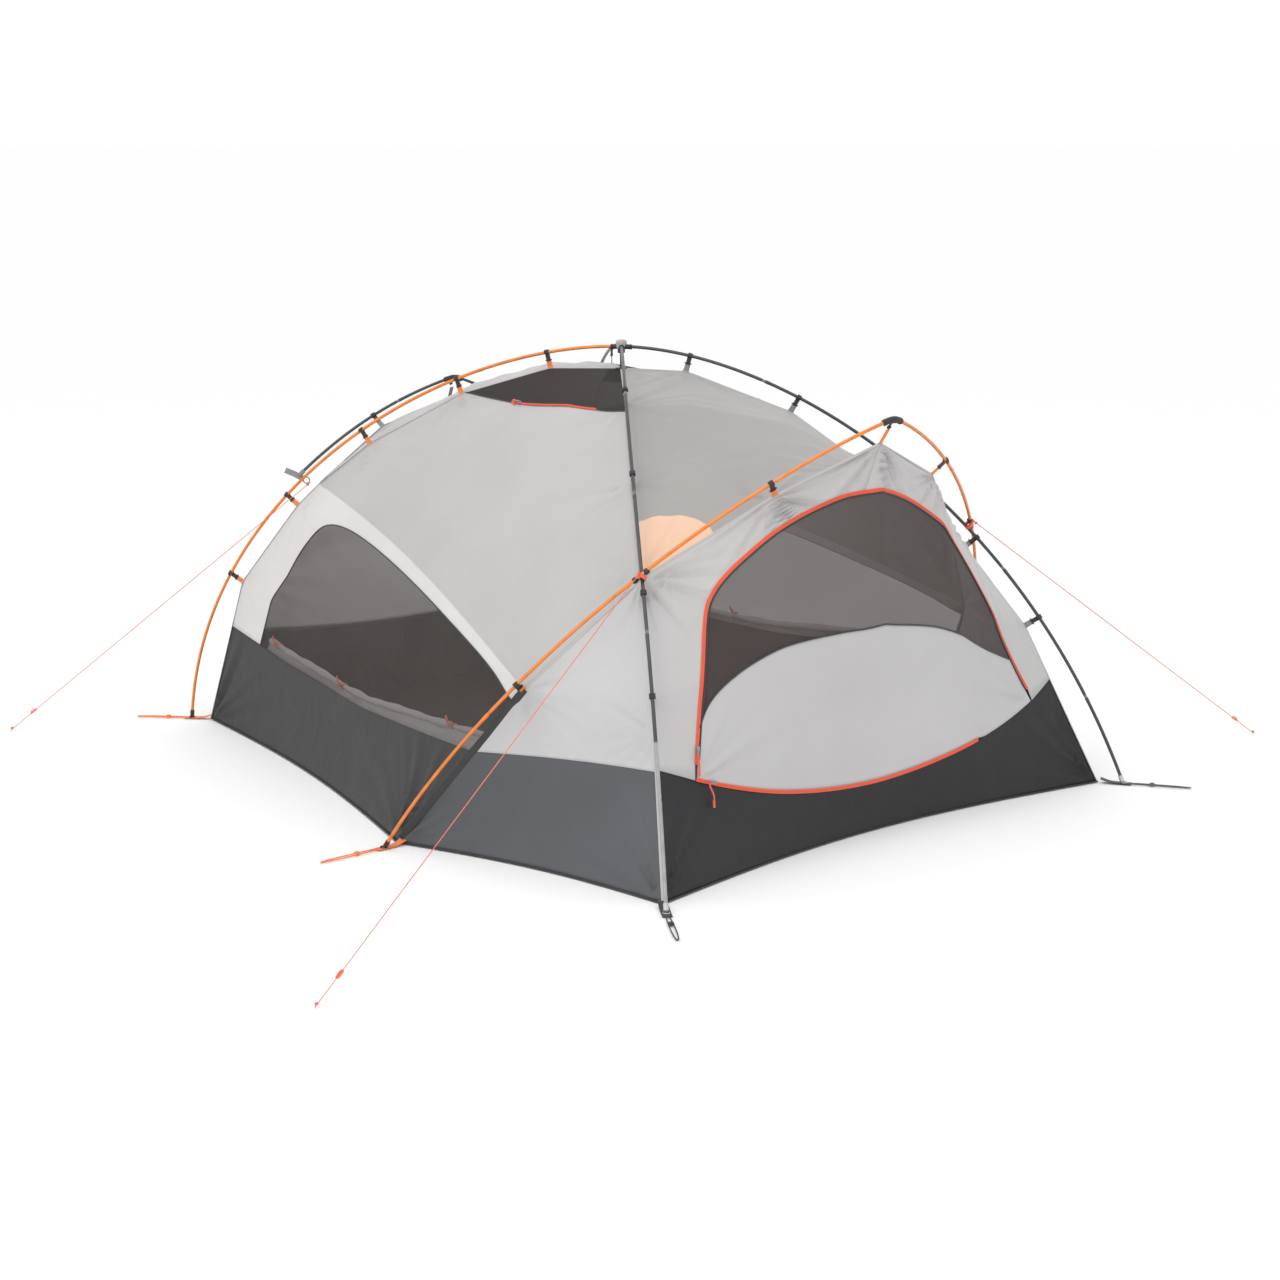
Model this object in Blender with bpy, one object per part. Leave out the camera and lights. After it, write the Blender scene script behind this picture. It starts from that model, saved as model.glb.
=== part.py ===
"""Dome tent: inner tent of a three-person mountaineering dome on crossed poles with a front hoop.

Metres, +Z up, door towards -Y, origin on the ground under the middle of the footprint.
"""

import bmesh
import bpy
import numpy as np
from mathutils import Matrix, Vector

for old in list(bpy.data.objects):
    bpy.data.objects.remove(old, do_unlink=True)

# Frame
HEIGHT = 1.170  # crossing of the two long poles
FRONT_FOOT = (0.837, -1.145)
REAR_FOOT = (0.730, 1.175)
SIDE_FOOT = (1.042, -0.308)
HOOP_PEAK = (-1.038, 1.064)  # y, z of the front elbow
BROW_PEAK = (0.787, 1.026)  # y, z of the rear elbow
BROW_END = (0.532, 0.840, 0.766)  # the brow pole's end, just outside a rear pole
POLE_R = 0.0045
POLE_SIDES = 8
SOCKET_START = 0.012  # pole end to hub centre
TIP = 0.012  # pole tip to the ground point, in the foot cup
CUP = (0.0085, 0.030)  # radius, length up the pole

# Cloth
CLOTH = 0.0012
EDGE = 0.0042  # panel edge to seam line
TAPE = (0.005, 0.002)  # width, thickness of the seam tape
CROWN_Z = 1.110
CROSS_DROP = 0.035  # cloth corner under the hoop crossing
CORNER_FRONT = (0.797, -1.088)
CORNER_SIDE = (0.990, -0.292)
CORNER_REAR = (0.692, 1.128)
REAR_CROSS = (0.478, 0.812, 0.742)  # cloth corner at the brow end
HOOD_PEAK = (0.0, -0.993, 0.998)
BROW_CLOTH_PEAK = (0.0, 0.818, 0.952)
FOLD_BOW = 0.045  # side wall seam bows up by this much
CROSS_FRONT = 0.634  # shares of a pole from the crown down
KNEE_HOOP = 0.335  # share of the hoop from its foot up
CLIPS_FRONT_LEFT = (0.27, 0.476)
CLIPS_FRONT_RIGHT = (0.144, 0.341)
CLIP_CROSS = 0.66  # just below the hoop crossing
CLIP_FRONT_LOW = 0.785
CLIPS_REAR = (0.124, 0.278, 0.443)
CLIPS_REAR_LOW = (0.60, 0.755)
CLIP_HOOP_HIGH = 0.78
CLIP_DROP = 0.044  # cloth to pole axis at a clip
CLIP_WIDTH = 0.014

# Openings, as shares across (u) and down (v) of their wall
DOOR = ((0.085, 0.655), (0.094, 0.52), (0.108, 0.36), (0.12, 0.225), (0.137, 0.175), (0.168, 0.142),
        (0.21, 0.12), (0.26, 0.102), (0.33, 0.089), (0.41, 0.091), (0.455, 0.104), (0.50, 0.120),
        (0.545, 0.117), (0.61, 0.119), (0.69, 0.138), (0.765, 0.174), (0.825, 0.232), (0.855, 0.32), (0.872, 0.46),
        (0.915, 0.66))
DOOR_PANEL = ((0.114, 0.496), (0.144, 0.464), (0.194, 0.441), (0.252, 0.432), (0.312, 0.436), (0.40, 0.454),
              (0.49, 0.474), (0.60, 0.474), (0.66, 0.478), (0.72, 0.494), (0.80, 0.526))
WINDOW_START = 0.142  # its upright edge
WINDOW = ((0.142, 0.36), (0.131, 0.24), (0.14, 0.142), (0.172, 0.096), (0.242, 0.072), (0.35, 0.063),
          (0.49, 0.061), (0.70, 0.061), (0.89, 0.06), (0.985, 0.085))
VENT = ((0.0, 0.46), (0.09, 0.40), (0.19, 0.32), (0.29, 0.20), (0.36, 0.09), (0.385, 0.0))
ZIP_GAP = 0.0045  # half of the slot for a zip
ZIP = (0.006, 0.003)  # width, thickness
ZIP_END = 0.75  # the bottom zip stops here, the rest is the door's hinge

# Ground line bows towards the middle, and tub heights
BOW_FRONT, BOW_REAR, BOW_SIDE, BOW_CORNER = 0.090, 0.060, 0.040, 0.036
TUB_FRONT = (0.285, 0.155)  # at the corner, and how far it dips at the door
TUB_REAR = (0.285, 0.040)
TUB_SIDE = (0.298, 0.236, 0.255)  # rear, middle, hoop leg
TUB_CORNER = (0.255, 0.280)

# Cords
LOOPS = {"front": ((0.55, -0.835), 0.185), "side": ((1.0, 0.0), 0.190), "rear": ((0.70, 0.714), 0.174)}
LOOP_CORD = 0.002
GUY_R = 0.0011
GUY_FRONT_LEFT_END = (-1.765, -1.113)
GUY_FRONT_RIGHT_END = (1.570, -1.060)
GUY_REAR_END = (-1.221, 1.392)
GUY_REAR_KNOT = (-0.022, 0.014, 0.004)  # from the cloth corner at the brow end
GUY_SHARE = 0.565  # guyline's place on the hoop, from its foot
TENSIONER_AT = 0.092  # from the guyline's ground end
SLIDER_GAP = 0.0015


def unit(v):
    return v / np.linalg.norm(v, axis=-1, keepdims=True)


def bezier(points, n):
    t = np.linspace(0, 1, n)[:, None]
    a, b, c, d = [np.asarray(p, float) for p in points]
    return (1 - t) ** 3 * a + 3 * (1 - t) ** 2 * t * b + 3 * (1 - t) * t**2 * c + t**3 * d


def long_pole(foot, pull, lean, knee, bow, side, n=161):
    """Half of a long pole from the crown down to its foot."""
    foot = np.array([side * foot[0], foot[1]])
    reach = np.hypot(*foot)
    prof = bezier([(0, HEIGHT), (pull * reach, HEIGHT), (reach * (1 - lean), knee), (reach, 0)], n)
    u = foot / reach
    across = side * np.array([-u[1], u[0]])
    swing = bow * np.sin(np.pi * prof[:, :1] / reach)
    return np.column_stack([prof[:, :1] * u + across * swing, prof[:, 1]])


def front_pole(side):
    return long_pole(FRONT_FOOT, 0.292, 0.224, 0.805, 0.023, side)


def rear_pole(side):
    return long_pole(REAR_FOOT, 0.406, 0.038, 0.683, -0.008, side)


def hoop_pole(side, n=161):
    """Half of the leaning front hoop from its foot up to the elbow."""
    dy, dz = HOOP_PEAK[0] - SIDE_FOOT[1], HOOP_PEAK[1]
    rise = np.hypot(dy, dz)
    up = np.array([dy, dz]) / rise
    m = bezier([(SIDE_FOOT[0], 0), (SIDE_FOOT[0] - 0.095, 0.503), (0.49, rise - 0.195), (0, rise)], n)
    bow = 0.017 * np.sin(np.pi * m[:, 1] / rise)
    return np.column_stack([
        side * m[:, 0],
        SIDE_FOOT[1] + m[:, 1] * up[0] + up[1] * bow,
        m[:, 1] * up[1] - up[0] * bow,
    ])


def brow_pole(side, n=81):
    """Half of the short rear brow pole from a rear pole up to its elbow."""
    t = np.linspace(0, 1, n)[:, None]
    start = np.array([side * BROW_END[0], BROW_END[1], BROW_END[2]])
    end = np.array([0, *BROW_PEAK])
    middle = (start + end) / 2 + np.array([0, 0.045, 0.055])
    return (1 - t) ** 2 * start + 2 * (1 - t) * t * middle + t**2 * end


def inward(curve):
    """Normals of a curve in its own plane, pointing into the tent."""
    tangent = np.gradient(curve, axis=0)
    half = curve[len(curve) // 2]
    plane = unit(np.cross(curve[0] - half, curve[-1] - half))
    normal = unit(np.cross(tangent, plane))
    inside = np.array([0, half[1] * 0.5, 0.2]) - half
    return normal if normal[len(curve) // 2] @ inside > 0 else -normal


def under(curve, share, drop):
    i = int(round(share * (len(curve) - 1)))
    return curve[i] + inward(curve)[i] * drop


def resample(points, n):
    points = np.asarray(points, float)
    length = np.r_[0, np.cumsum(np.linalg.norm(np.diff(points, axis=0), axis=1))]
    t = np.linspace(0, length[-1], n)
    return np.stack([np.interp(t, length, points[:, k]) for k in range(points.shape[1])], -1)


def smooth(points, n):
    """Catmull-Rom curve through the points, n samples at even spacing."""
    p = np.asarray(points, float)
    p = np.vstack([2 * p[0] - p[1], p, 2 * p[-1] - p[-2]])
    t = np.linspace(0, 1, 12, endpoint=False)[:, None]
    runs = []
    for a, b, c, d in zip(p[:-3], p[1:-2], p[2:-1], p[3:]):
        runs.append(0.5 * (2 * b + (c - a) * t + (2 * a - 5 * b + 4 * c - d) * t**2
                           + (3 * b - a - 3 * c + d) * t**3))
    return resample(np.vstack([*runs, p[-2:-1]]), n)


def along(curve, s):
    """Points of an evenly spaced curve at shares s of its length."""
    x = np.linspace(0, 1, len(curve))
    return np.stack([np.interp(s, x, curve[:, k]) for k in range(curve.shape[1])], -1)


def patch(top, bottom, left, right):
    """Coons patch: returns a function of shares u across and v down."""

    def at(u, v):
        u, v = np.broadcast_arrays(np.asarray(u, float), np.asarray(v, float))
        a, b = u[..., None], v[..., None]
        edges = (1 - b) * along(top, u) + b * along(bottom, u)
        edges = edges + (1 - a) * along(left, v) + a * along(right, v)
        corners = (1 - a) * (1 - b) * top[0] + a * (1 - b) * top[-1]
        return edges - corners - (1 - a) * b * bottom[0] - a * b * bottom[-1]

    return at


def level(at, u, z):
    """Share v at which the patch has height z, for each u."""
    v = np.linspace(0, 1, 81)
    z = np.broadcast_to(z, np.shape(u))
    heights = at(np.asarray(u)[:, None], v[None])[..., 2]
    return np.array([np.interp(-zz, -row, v) for zz, row in zip(z, heights)])


def ground_line(a, b, bow, n=41):
    a, b = np.append(a, 0.0), np.append(b, 0.0)
    t = np.linspace(0, 1, n)[:, None]
    d = b - a
    w = np.array([-d[1], d[0], 0]) / np.hypot(d[0], d[1])
    w = w if w @ (-(a + b) / 2) > 0 else -w
    return a + d * t + w * bow * np.sin(np.pi * t)


def material(name, colour, rough, metal=0.0):
    mat = bpy.data.materials.get(name) or bpy.data.materials.new(name)
    mat.use_nodes = True
    shader = mat.node_tree.nodes["Principled BSDF"]
    shader.inputs["Base Color"].default_value = (*colour, 1)
    shader.inputs["Roughness"].default_value = rough
    shader.inputs["Metallic"].default_value = metal
    mat.diffuse_color = (*colour, 1)
    return mat


CANOPY = material("canopy", (0.68, 0.68, 0.67), 0.6)
TUB = material("tub", (0.075, 0.075, 0.082), 0.45)
MESH = material("mesh", (0.10, 0.09, 0.085), 0.7)
ORANGE = material("pole_orange", (0.78, 0.20, 0.03), 0.3, 0.6)
GREY = material("pole_grey", (0.08, 0.085, 0.09), 0.35, 0.6)
HUB = material("hub_black", (0.03, 0.03, 0.03), 0.45)
CROWN_HUB = material("hub_grey", (0.55, 0.50, 0.50), 0.5)
TAPES = material("seam_tape", (0.35, 0.35, 0.35), 0.6)
CORAL = material("zip_coral", (0.75, 0.14, 0.07), 0.5)
CORD = material("guyline", (0.72, 0.18, 0.14), 0.6)
FOOT = material("foot_black", (0.04, 0.04, 0.045), 0.6)
SLIDER = material("slider_metal", (0.25, 0.24, 0.24), 0.35, 0.8)


def make(name, verts, faces, mat, round_=False):
    mesh = bpy.data.meshes.new(name)
    mesh.from_pydata([tuple(v) for v in np.asarray(verts, float)], [], faces)
    bm = bmesh.new()
    bm.from_mesh(mesh)
    bmesh.ops.recalc_face_normals(bm, faces=bm.faces)
    if bm.calc_volume(signed=True) < 0:
        bmesh.ops.reverse_faces(bm, faces=bm.faces)
    bm.to_mesh(mesh)
    bm.free()
    mesh.materials.append(mat)
    for face in mesh.polygons:
        face.use_smooth = round_
    obj = bpy.data.objects.new(name, mesh)
    bpy.context.scene.collection.objects.link(obj)
    return obj


def clear(points, lines, distance):
    """Points pushed sideways until each is at least a distance from the lines."""
    flat = points.reshape(-1, 3).copy()
    middle = flat.mean(0)
    for line in lines:
        gaps = np.linalg.norm(flat[:, None] - line[None], axis=2)
        near = line[gaps.argmin(1)]
        away = flat - near
        short = np.linalg.norm(away, axis=1) < distance
        away = unit(np.where(np.linalg.norm(away, axis=1, keepdims=True) < 1e-4, middle - flat, away))
        flat[short] = (near + away * distance)[short]
    return flat.reshape(points.shape)


def shell(name, grid, mat, thick=CLOTH):
    """Closed cloth shell around a grid of points, half the thickness each way."""
    grid = clear(grid, tapes, EDGE)
    m, n = grid.shape[:2]
    across, down = np.gradient(grid, axis=1), np.gradient(grid, axis=0)
    normal = unit(np.cross(across, down))
    verts = np.vstack([(grid + normal * thick / 2).reshape(-1, 3), (grid - normal * thick / 2).reshape(-1, 3)])
    k = np.arange(m * n).reshape(m, n)
    a, b, c, d = k[:-1, :-1].ravel(), k[:-1, 1:].ravel(), k[1:, 1:].ravel(), k[1:, :-1].ravel()
    other = m * n
    one, two = list(zip(a, b, c)), list(zip(a, c, d))
    faces = one + two + [tuple(i + other for i in reversed(f)) for f in one + two]
    ring = np.concatenate([k[0], k[1:, -1], k[-1, -2::-1], k[-2:0:-1, 0]])
    nxt = np.roll(ring, -1)
    faces += list(zip(nxt, ring, ring + other, nxt + other))
    return make(name, verts, [tuple(int(i) for i in f) for f in faces], mat)


def frames(curve, hint):
    """Tangent, side and up directions along a curve; up stays near the hint."""
    tangent = unit(np.gradient(curve, axis=0))
    up = unit(hint - (hint * tangent).sum(1, keepdims=True) * tangent)
    return tangent, np.cross(up, tangent), up


def sweep(name, curve, outline, mat, hint=None, closed=False, round_=False):
    """Solid swept along a curve; outline is points (side, up)."""
    curve = np.asarray(curve, float)
    if hint is None:
        hint = np.array([0.0, 0.0, 1.0]) + 0.01 * unit(curve[-1] - curve[0])
    hint = np.broadcast_to(hint, curve.shape)
    _, side, up = frames(curve, hint)
    outline = np.asarray(outline, float)
    n, k = len(curve), len(outline)
    verts = (curve[:, None] + side[:, None] * outline[None, :, :1] + up[:, None] * outline[None, :, 1:])
    idx = np.arange(n * k).reshape(n, k)
    nxt = np.roll(idx, -1, axis=1)
    rows = [(i, i + 1) for i in range(n - 1)] + ([(n - 1, 0)] if closed else [])
    faces = [f for i, j in rows for f in zip(idx[i], nxt[i], nxt[j], idx[j])]
    if not closed:
        faces += [tuple(idx[0][::-1]), tuple(idx[-1])]
    return make(name, verts.reshape(-1, 3), [tuple(int(i) for i in f) for f in faces], mat, round_)


def circle(radius, n=POLE_SIDES):
    a = np.linspace(0, 2 * np.pi, n, endpoint=False)
    return np.column_stack([radius * np.cos(a), radius * np.sin(a)])


def rectangle(width, height):
    return [(-width / 2, -height / 2), (width / 2, -height / 2), (width / 2, height / 2), (-width / 2, height / 2)]


def combine(base, tool, kind):
    """Boolean of two objects; the second is used up."""
    mod = base.modifiers.new(kind.lower(), "BOOLEAN")
    mod.operation, mod.solver, mod.object = kind, "EXACT", tool
    bpy.context.view_layer.update()
    done = bpy.data.meshes.new_from_object(base.evaluated_get(bpy.context.evaluated_depsgraph_get()))
    base.modifiers.clear()
    name = base.data.name
    base.data = done
    done.name = name
    bpy.data.objects.remove(tool, do_unlink=True)
    return base


def joined(objects):
    """One object holding the meshes of several."""
    verts, faces, start = [], [], 0
    for obj in objects:
        verts += [tuple(v.co) for v in obj.data.vertices]
        faces += [tuple(i + start for i in p.vertices) for p in obj.data.polygons]
        start += len(obj.data.vertices)
    mat = objects[0].data.materials[0]
    for obj in objects:
        bpy.data.objects.remove(obj, do_unlink=True)
    return make("joined", verts, faces, mat)


def trim(curve, start, end, n=161):
    """Curve without its first and last bit of length."""
    length = np.linalg.norm(np.diff(curve, axis=0), axis=1).sum()
    return along(resample(curve, n), np.linspace(start / length, 1 - end / length, n))


# Seam lines: each hangs from its pole at the clips and runs straight between them
LEFT, RIGHT = -1, 1
seam = {}
for side in (LEFT, RIGHT):
    mirror = np.array([side, 1, 1])
    front, rear, hoop = front_pole(side), rear_pole(side), hoop_pole(side)
    crown = np.array([0, 0, CROWN_Z])
    cross = under(front, CROSS_FRONT, CROSS_DROP)
    rear_cross = np.array(REAR_CROSS) * mirror
    knee = under(hoop, KNEE_HOOP, 0.036)
    corner_f = np.array([side * CORNER_FRONT[0], CORNER_FRONT[1], 0])
    corner_s = np.array([side * CORNER_SIDE[0], CORNER_SIDE[1], 0])
    corner_r = np.array([side * CORNER_REAR[0], CORNER_REAR[1], 0])
    high = CLIPS_FRONT_LEFT if side == LEFT else CLIPS_FRONT_RIGHT
    seam["front_up", side] = resample([crown, *(under(front, s, CLIP_DROP) for s in high), cross], 41)
    seam["front_low", side] = resample([cross, under(front, CLIP_FRONT_LOW, CLIP_DROP), corner_f], 41)
    seam["rear_up", side] = resample([crown, *(under(rear, s, CLIP_DROP) for s in CLIPS_REAR), rear_cross], 41)
    seam["rear_low", side] = resample(
        [rear_cross, *(under(rear, s, CLIP_DROP) for s in CLIPS_REAR_LOW), corner_r], 41)
    seam["hoop_up", side] = resample([cross, under(hoop, CLIP_HOOP_HIGH, 0.05), HOOD_PEAK], 41)
    seam["hoop_mid", side] = resample([cross, knee], 41)
    seam["hoop_low", side] = resample([knee, corner_s], 41)
    seam["leg", side] = resample(np.vstack([seam["hoop_mid", side], seam["hoop_low", side][1:]]), 41)
    seam["brow", side] = resample([rear_cross, under(brow_pole(side), 0.5, CLIP_DROP), BROW_CLOTH_PEAK], 41)
    t = np.linspace(0, 1, 41)[:, None]
    seam["fold", side] = rear_cross + (knee - rear_cross) * t + np.array([0, 0, FOLD_BOW]) * np.sin(np.pi * t)
    seam["ground_side", side] = ground_line(corner_r[:2], corner_s[:2], BOW_SIDE)
    seam["ground_corner", side] = ground_line(corner_s[:2], corner_f[:2], BOW_CORNER)
ends = [np.array([side * CORNER_FRONT[0], CORNER_FRONT[1]]) for side in (LEFT, RIGHT)]
seam["ground_front"] = ground_line(*ends, BOW_FRONT, 81)
ends = [np.array([side * CORNER_REAR[0], CORNER_REAR[1]]) for side in (LEFT, RIGHT)]
seam["ground_rear"] = ground_line(*ends, BOW_REAR, 81)

tapes = []
for key, line in seam.items():
    if not str(key).startswith(("('ground", "('fold", "('leg", "ground")):
        tapes.append(resample(line, int(np.linalg.norm(np.diff(line, axis=0), axis=1).sum() / 0.0015)))

# Walls as patches: u runs left to right seen from outside, or rear to front on the sides; v runs down
wall = {}
hood = resample(np.vstack([seam["hoop_up", LEFT], seam["hoop_up", RIGHT][-2::-1]]), 81)
wall["front"] = patch(hood, seam["ground_front"], seam["front_low", LEFT], seam["front_low", RIGHT])
brow = resample(np.vstack([seam["brow", LEFT], seam["brow", RIGHT][-2::-1]]), 81)
wall["rear"] = patch(brow, seam["ground_rear"], seam["rear_low", LEFT], seam["rear_low", RIGHT])
wall["roof_front"] = patch(seam["front_up", RIGHT], seam["hoop_up", LEFT], seam["front_up", LEFT],
                           seam["hoop_up", RIGHT])
wall["roof_rear"] = patch(seam["rear_up", RIGHT], seam["brow", LEFT], seam["rear_up", LEFT], seam["brow", RIGHT])
for side in (LEFT, RIGHT):
    tip = np.repeat(seam["leg", side][:1], 41, 0)
    wall["corner", side] = patch(tip, seam["ground_corner", side], seam["leg", side], seam["front_low", side])
    wall["side", side] = patch(seam["fold", side], seam["ground_side", side], seam["rear_low", side],
                               seam["hoop_low", side])
    wall["roof", side] = patch(seam["front_up", side], seam["fold", side], seam["rear_up", side],
                               seam["hoop_mid", side])


def tub_top(key, u):
    """Share v of the tub's top edge on a wall."""
    kind = key if isinstance(key, str) else key[0]
    if kind == "front":
        z = TUB_FRONT[0] - TUB_FRONT[1] * np.sin(np.pi * u)
    elif kind == "rear":
        z = TUB_REAR[0] - TUB_REAR[1] * np.sin(np.pi * u)
    elif kind == "side":
        z = np.interp(u, (0, 0.25, 0.6, 1), (TUB_SIDE[0], 0.262, TUB_SIDE[1], TUB_SIDE[2]))
    else:
        z = TUB_CORNER[0] + (TUB_CORNER[1] - TUB_CORNER[0]) * u
    return level(wall[key], u, z)


def column(key, u):
    """Length of the wall from top to bottom at each u."""
    v = np.linspace(0, 1, 21)
    p = wall[key](np.asarray(u)[:, None], v[None])
    return np.linalg.norm(np.diff(p, axis=1), axis=2).sum(1)


def basis(key, uv):
    at, e = wall[key], 1e-3
    du = (at(uv[:, 0] + e, uv[:, 1]) - at(uv[:, 0] - e, uv[:, 1])) / (2 * e)
    dv = (at(uv[:, 0], uv[:, 1] + e) - at(uv[:, 0], uv[:, 1] - e)) / (2 * e)
    return du, dv


def shift(key, uv, distance):
    """Line of shares moved sideways on its wall by a distance in metres."""
    du, dv = basis(key, uv)
    step = np.gradient(uv, axis=0)
    ahead = unit(du * step[:, :1] + dv * step[:, 1:])
    away = np.cross(unit(np.cross(du, dv)), ahead) * distance
    metric = np.array([[(du * du).sum(1), (du * dv).sum(1)], [(du * dv).sum(1), (dv * dv).sum(1)]])
    pull = np.array([(du * away).sum(1), (dv * away).sum(1)])
    det = metric[0, 0] * metric[1, 1] - metric[0, 1] ** 2
    return uv + np.column_stack([(metric[1, 1] * pull[0] - metric[0, 1] * pull[1]) / det,
                                 (metric[0, 0] * pull[1] - metric[0, 1] * pull[0]) / det])


def cut(key, top, bottom, nu, nv, ends=(EDGE, EDGE)):
    """Grid of a wall between two edge functions v(u), held back from the seams at its ends."""
    at = wall[key]
    rows = []
    for w in np.linspace(0, 1, nv):
        u = np.linspace(0, 1, nu)
        for _ in range(2):
            v = top(u) + (bottom(u) - top(u)) * w
            length = np.linalg.norm(np.diff(at(u, v), axis=0), axis=1).sum() / max(u[-1] - u[0], 1e-6)
            u = np.linspace(ends[0] / length, 1 - ends[1] / length, nu)
        rows.append(at(u, top(u) + (bottom(u) - top(u)) * w))
    return np.array(rows)


def tub(name, key, nu, nv=3):
    gap = 0.0012
    shell(name, cut(key, lambda u: tub_top(key, u) + gap / column(key, u),
                    lambda u: level(wall[key], u, 0.0022), nu, nv), TUB)


def hem(key, u):
    """Upper cloth's lower edge, just above the tub."""
    return tub_top(key, u) - 0.0012 / column(key, u)


# Floor and tub
rims = [seam["ground_front"], seam["ground_corner", RIGHT][::-1], seam["ground_side", RIGHT][::-1],
        seam["ground_rear"][::-1], seam["ground_side", LEFT], seam["ground_corner", LEFT]]
rim = np.vstack([resample(r, 9)[:-1] for r in rims])
n = len(rim)
verts = np.vstack([rim, rim + [0, 0, CLOTH]])
make("floor", verts, [tuple(range(n))[::-1], tuple(range(n, 2 * n))]
     + [(i, (i + 1) % n, (i + 1) % n + n, i + n) for i in range(n)], TUB)
tub("tub_front", "front", 17)
tub("tub_rear", "rear", 13)
for side, word in ((LEFT, "left"), (RIGHT, "right")):
    tub(f"tub_{word}", ("side", side), 11)
    tub(f"tub_front_{word}", ("corner", side), 8)

# Roof panels
for key in ("roof_front", "roof_rear"):
    share = np.linspace(0.02, 0.985, 9)
    shell(key, wall[key](*np.meshgrid(share, share)), CANOPY)
for side, word in ((LEFT, "left"), (RIGHT, "right")):
    at = wall["roof", side]
    rim_uv = smooth(VENT, 25)[::2]
    inset = 0.008
    low = 2 * inset
    lip = 0.0045
    start = np.clip(shift(("roof", side), rim_uv, lip), [inset, inset], None)
    far = np.vstack([resample([(inset, 1 - inset), (1 - low, 1 - low)], 7),
                     resample([(1 - low, 1 - low), (1 - low, low)], 7)[1:]])
    r = np.linspace(0, 1, 8)[:, None, None]
    uv = start * (1 - r) + far * r
    shell(f"roof_{word}", at(uv[..., 0], uv[..., 1]), CANOPY)
    near = np.clip(shift(("roof", side), rim_uv, -lip), [inset, inset], None)
    crown_uv = np.clip(rim_uv * 0.07, [inset, inset], None)
    uv = crown_uv * (1 - r[::2]) + near * r[::2]
    shell(f"vent_{word}", at(uv[..., 0], uv[..., 1]), MESH)

# Front wall around the door, and the door
at = wall["front"]
inset = 0.0045
outline = smooth(DOOR, 41)
outline[0, 1], outline[-1, 1] = hem("front", outline[[0, -1], 0])
frame_edge = shift("front", outline, -ZIP_GAP)
frame_edge[0, 1], frame_edge[-1, 1] = hem("front", frame_edge[[0, -1], 0])
half = len(outline) // 2
outer_left = np.vstack([resample([(inset, hem("front", np.array([inset]))[0]), (inset, 0.006)], 8),
                        resample([(inset, 0.006), (0.4985, 0.006)], half - 6)[1:]])
outer_right = outer_left[::-1] * [-1, 1] + [1, 0]
for word, inner, outer in (("left", frame_edge[:half + 1], outer_left), ("right", frame_edge[half:], outer_right)):
    inner = inner.copy()
    inner[-1 if word == "left" else 0, 0] += -0.0015 if word == "left" else 0.0015
    r = np.linspace(0, 1, 4)[:, None, None]
    uv = inner * (1 - r) + outer * r
    shell(f"wall_front_{word}", at(uv[..., 0], uv[..., 1]), CANOPY)
door_edge = shift("front", outline, ZIP_GAP)
sill_u = np.linspace(door_edge[0, 0], door_edge[-1, 0], 25)
sill = np.column_stack([sill_u, tub_top("front", sill_u) - 2 * ZIP_GAP / column("front", sill_u)])
arch = door_edge[np.nonzero(door_edge[:, 1] < 0.55)[0]]
split = smooth([arch[0] + [0, 0.012], *DOOR_PANEL, arch[-1] + [0, 0.012]], len(arch))
gap = np.array([0, 0.002])
r = np.linspace(0, 1, 7)[:, None, None]
uv = arch * (1 - r) + (split - gap) * r
shell("door_mesh", at(uv[..., 0], uv[..., 1]), MESH)
split = resample(split, 25)
uv = (split + gap) * (1 - r) + sill * r
shell("door_panel", at(uv[..., 0], uv[..., 1]), CANOPY)

# Corner triangles, side walls with their windows, rear wall
for side, word in ((LEFT, "left"), (RIGHT, "right")):
    key = ("corner", side)
    shell(f"corner_{word}", cut(key, lambda u: np.full(np.shape(u), 0.055), lambda u: hem(key, u), 6, 6), CANOPY)
    key = ("side", side)
    at = wall[key]
    inset = 0.0035
    frame_uv = smooth(WINDOW, 17)
    frame_uv = np.vstack([resample([(WINDOW_START, hem(key, np.array([WINDOW_START]))[0]), frame_uv[0]], 5)[:-1], frame_uv])
    frame_uv[-1] = (1 - inset * 1.6, 0.085)
    outer = np.vstack([resample([(inset, hem(key, np.array([inset]))[0]), (inset, 0.012)], 7),
                       resample([(inset, 0.012), (1 - inset * 1.6, 0.012)], len(frame_uv) - 6)[1:]])
    r = np.linspace(0, 1, 3)[:, None, None]
    uv = frame_uv * (1 - r) + outer * r
    shell(f"wall_{word}", at(uv[..., 0], uv[..., 1]), CANOPY)
    top = shift(key, frame_uv[4:], 0.0028)
    base_u = np.linspace(WINDOW_START + 0.0032, 1 - inset * 1.6, len(top))
    base = np.column_stack([base_u, hem(key, base_u)])
    r = np.linspace(0, 1, 6)[:, None, None]
    uv = top * (1 - r) + base * r
    shell(f"window_{word}", at(uv[..., 0], uv[..., 1]), MESH)
shell("wall_rear", cut("rear", lambda u: 1.5 * EDGE / column("rear", u), lambda u: hem("rear", u), 13, 6), CANOPY)

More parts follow.
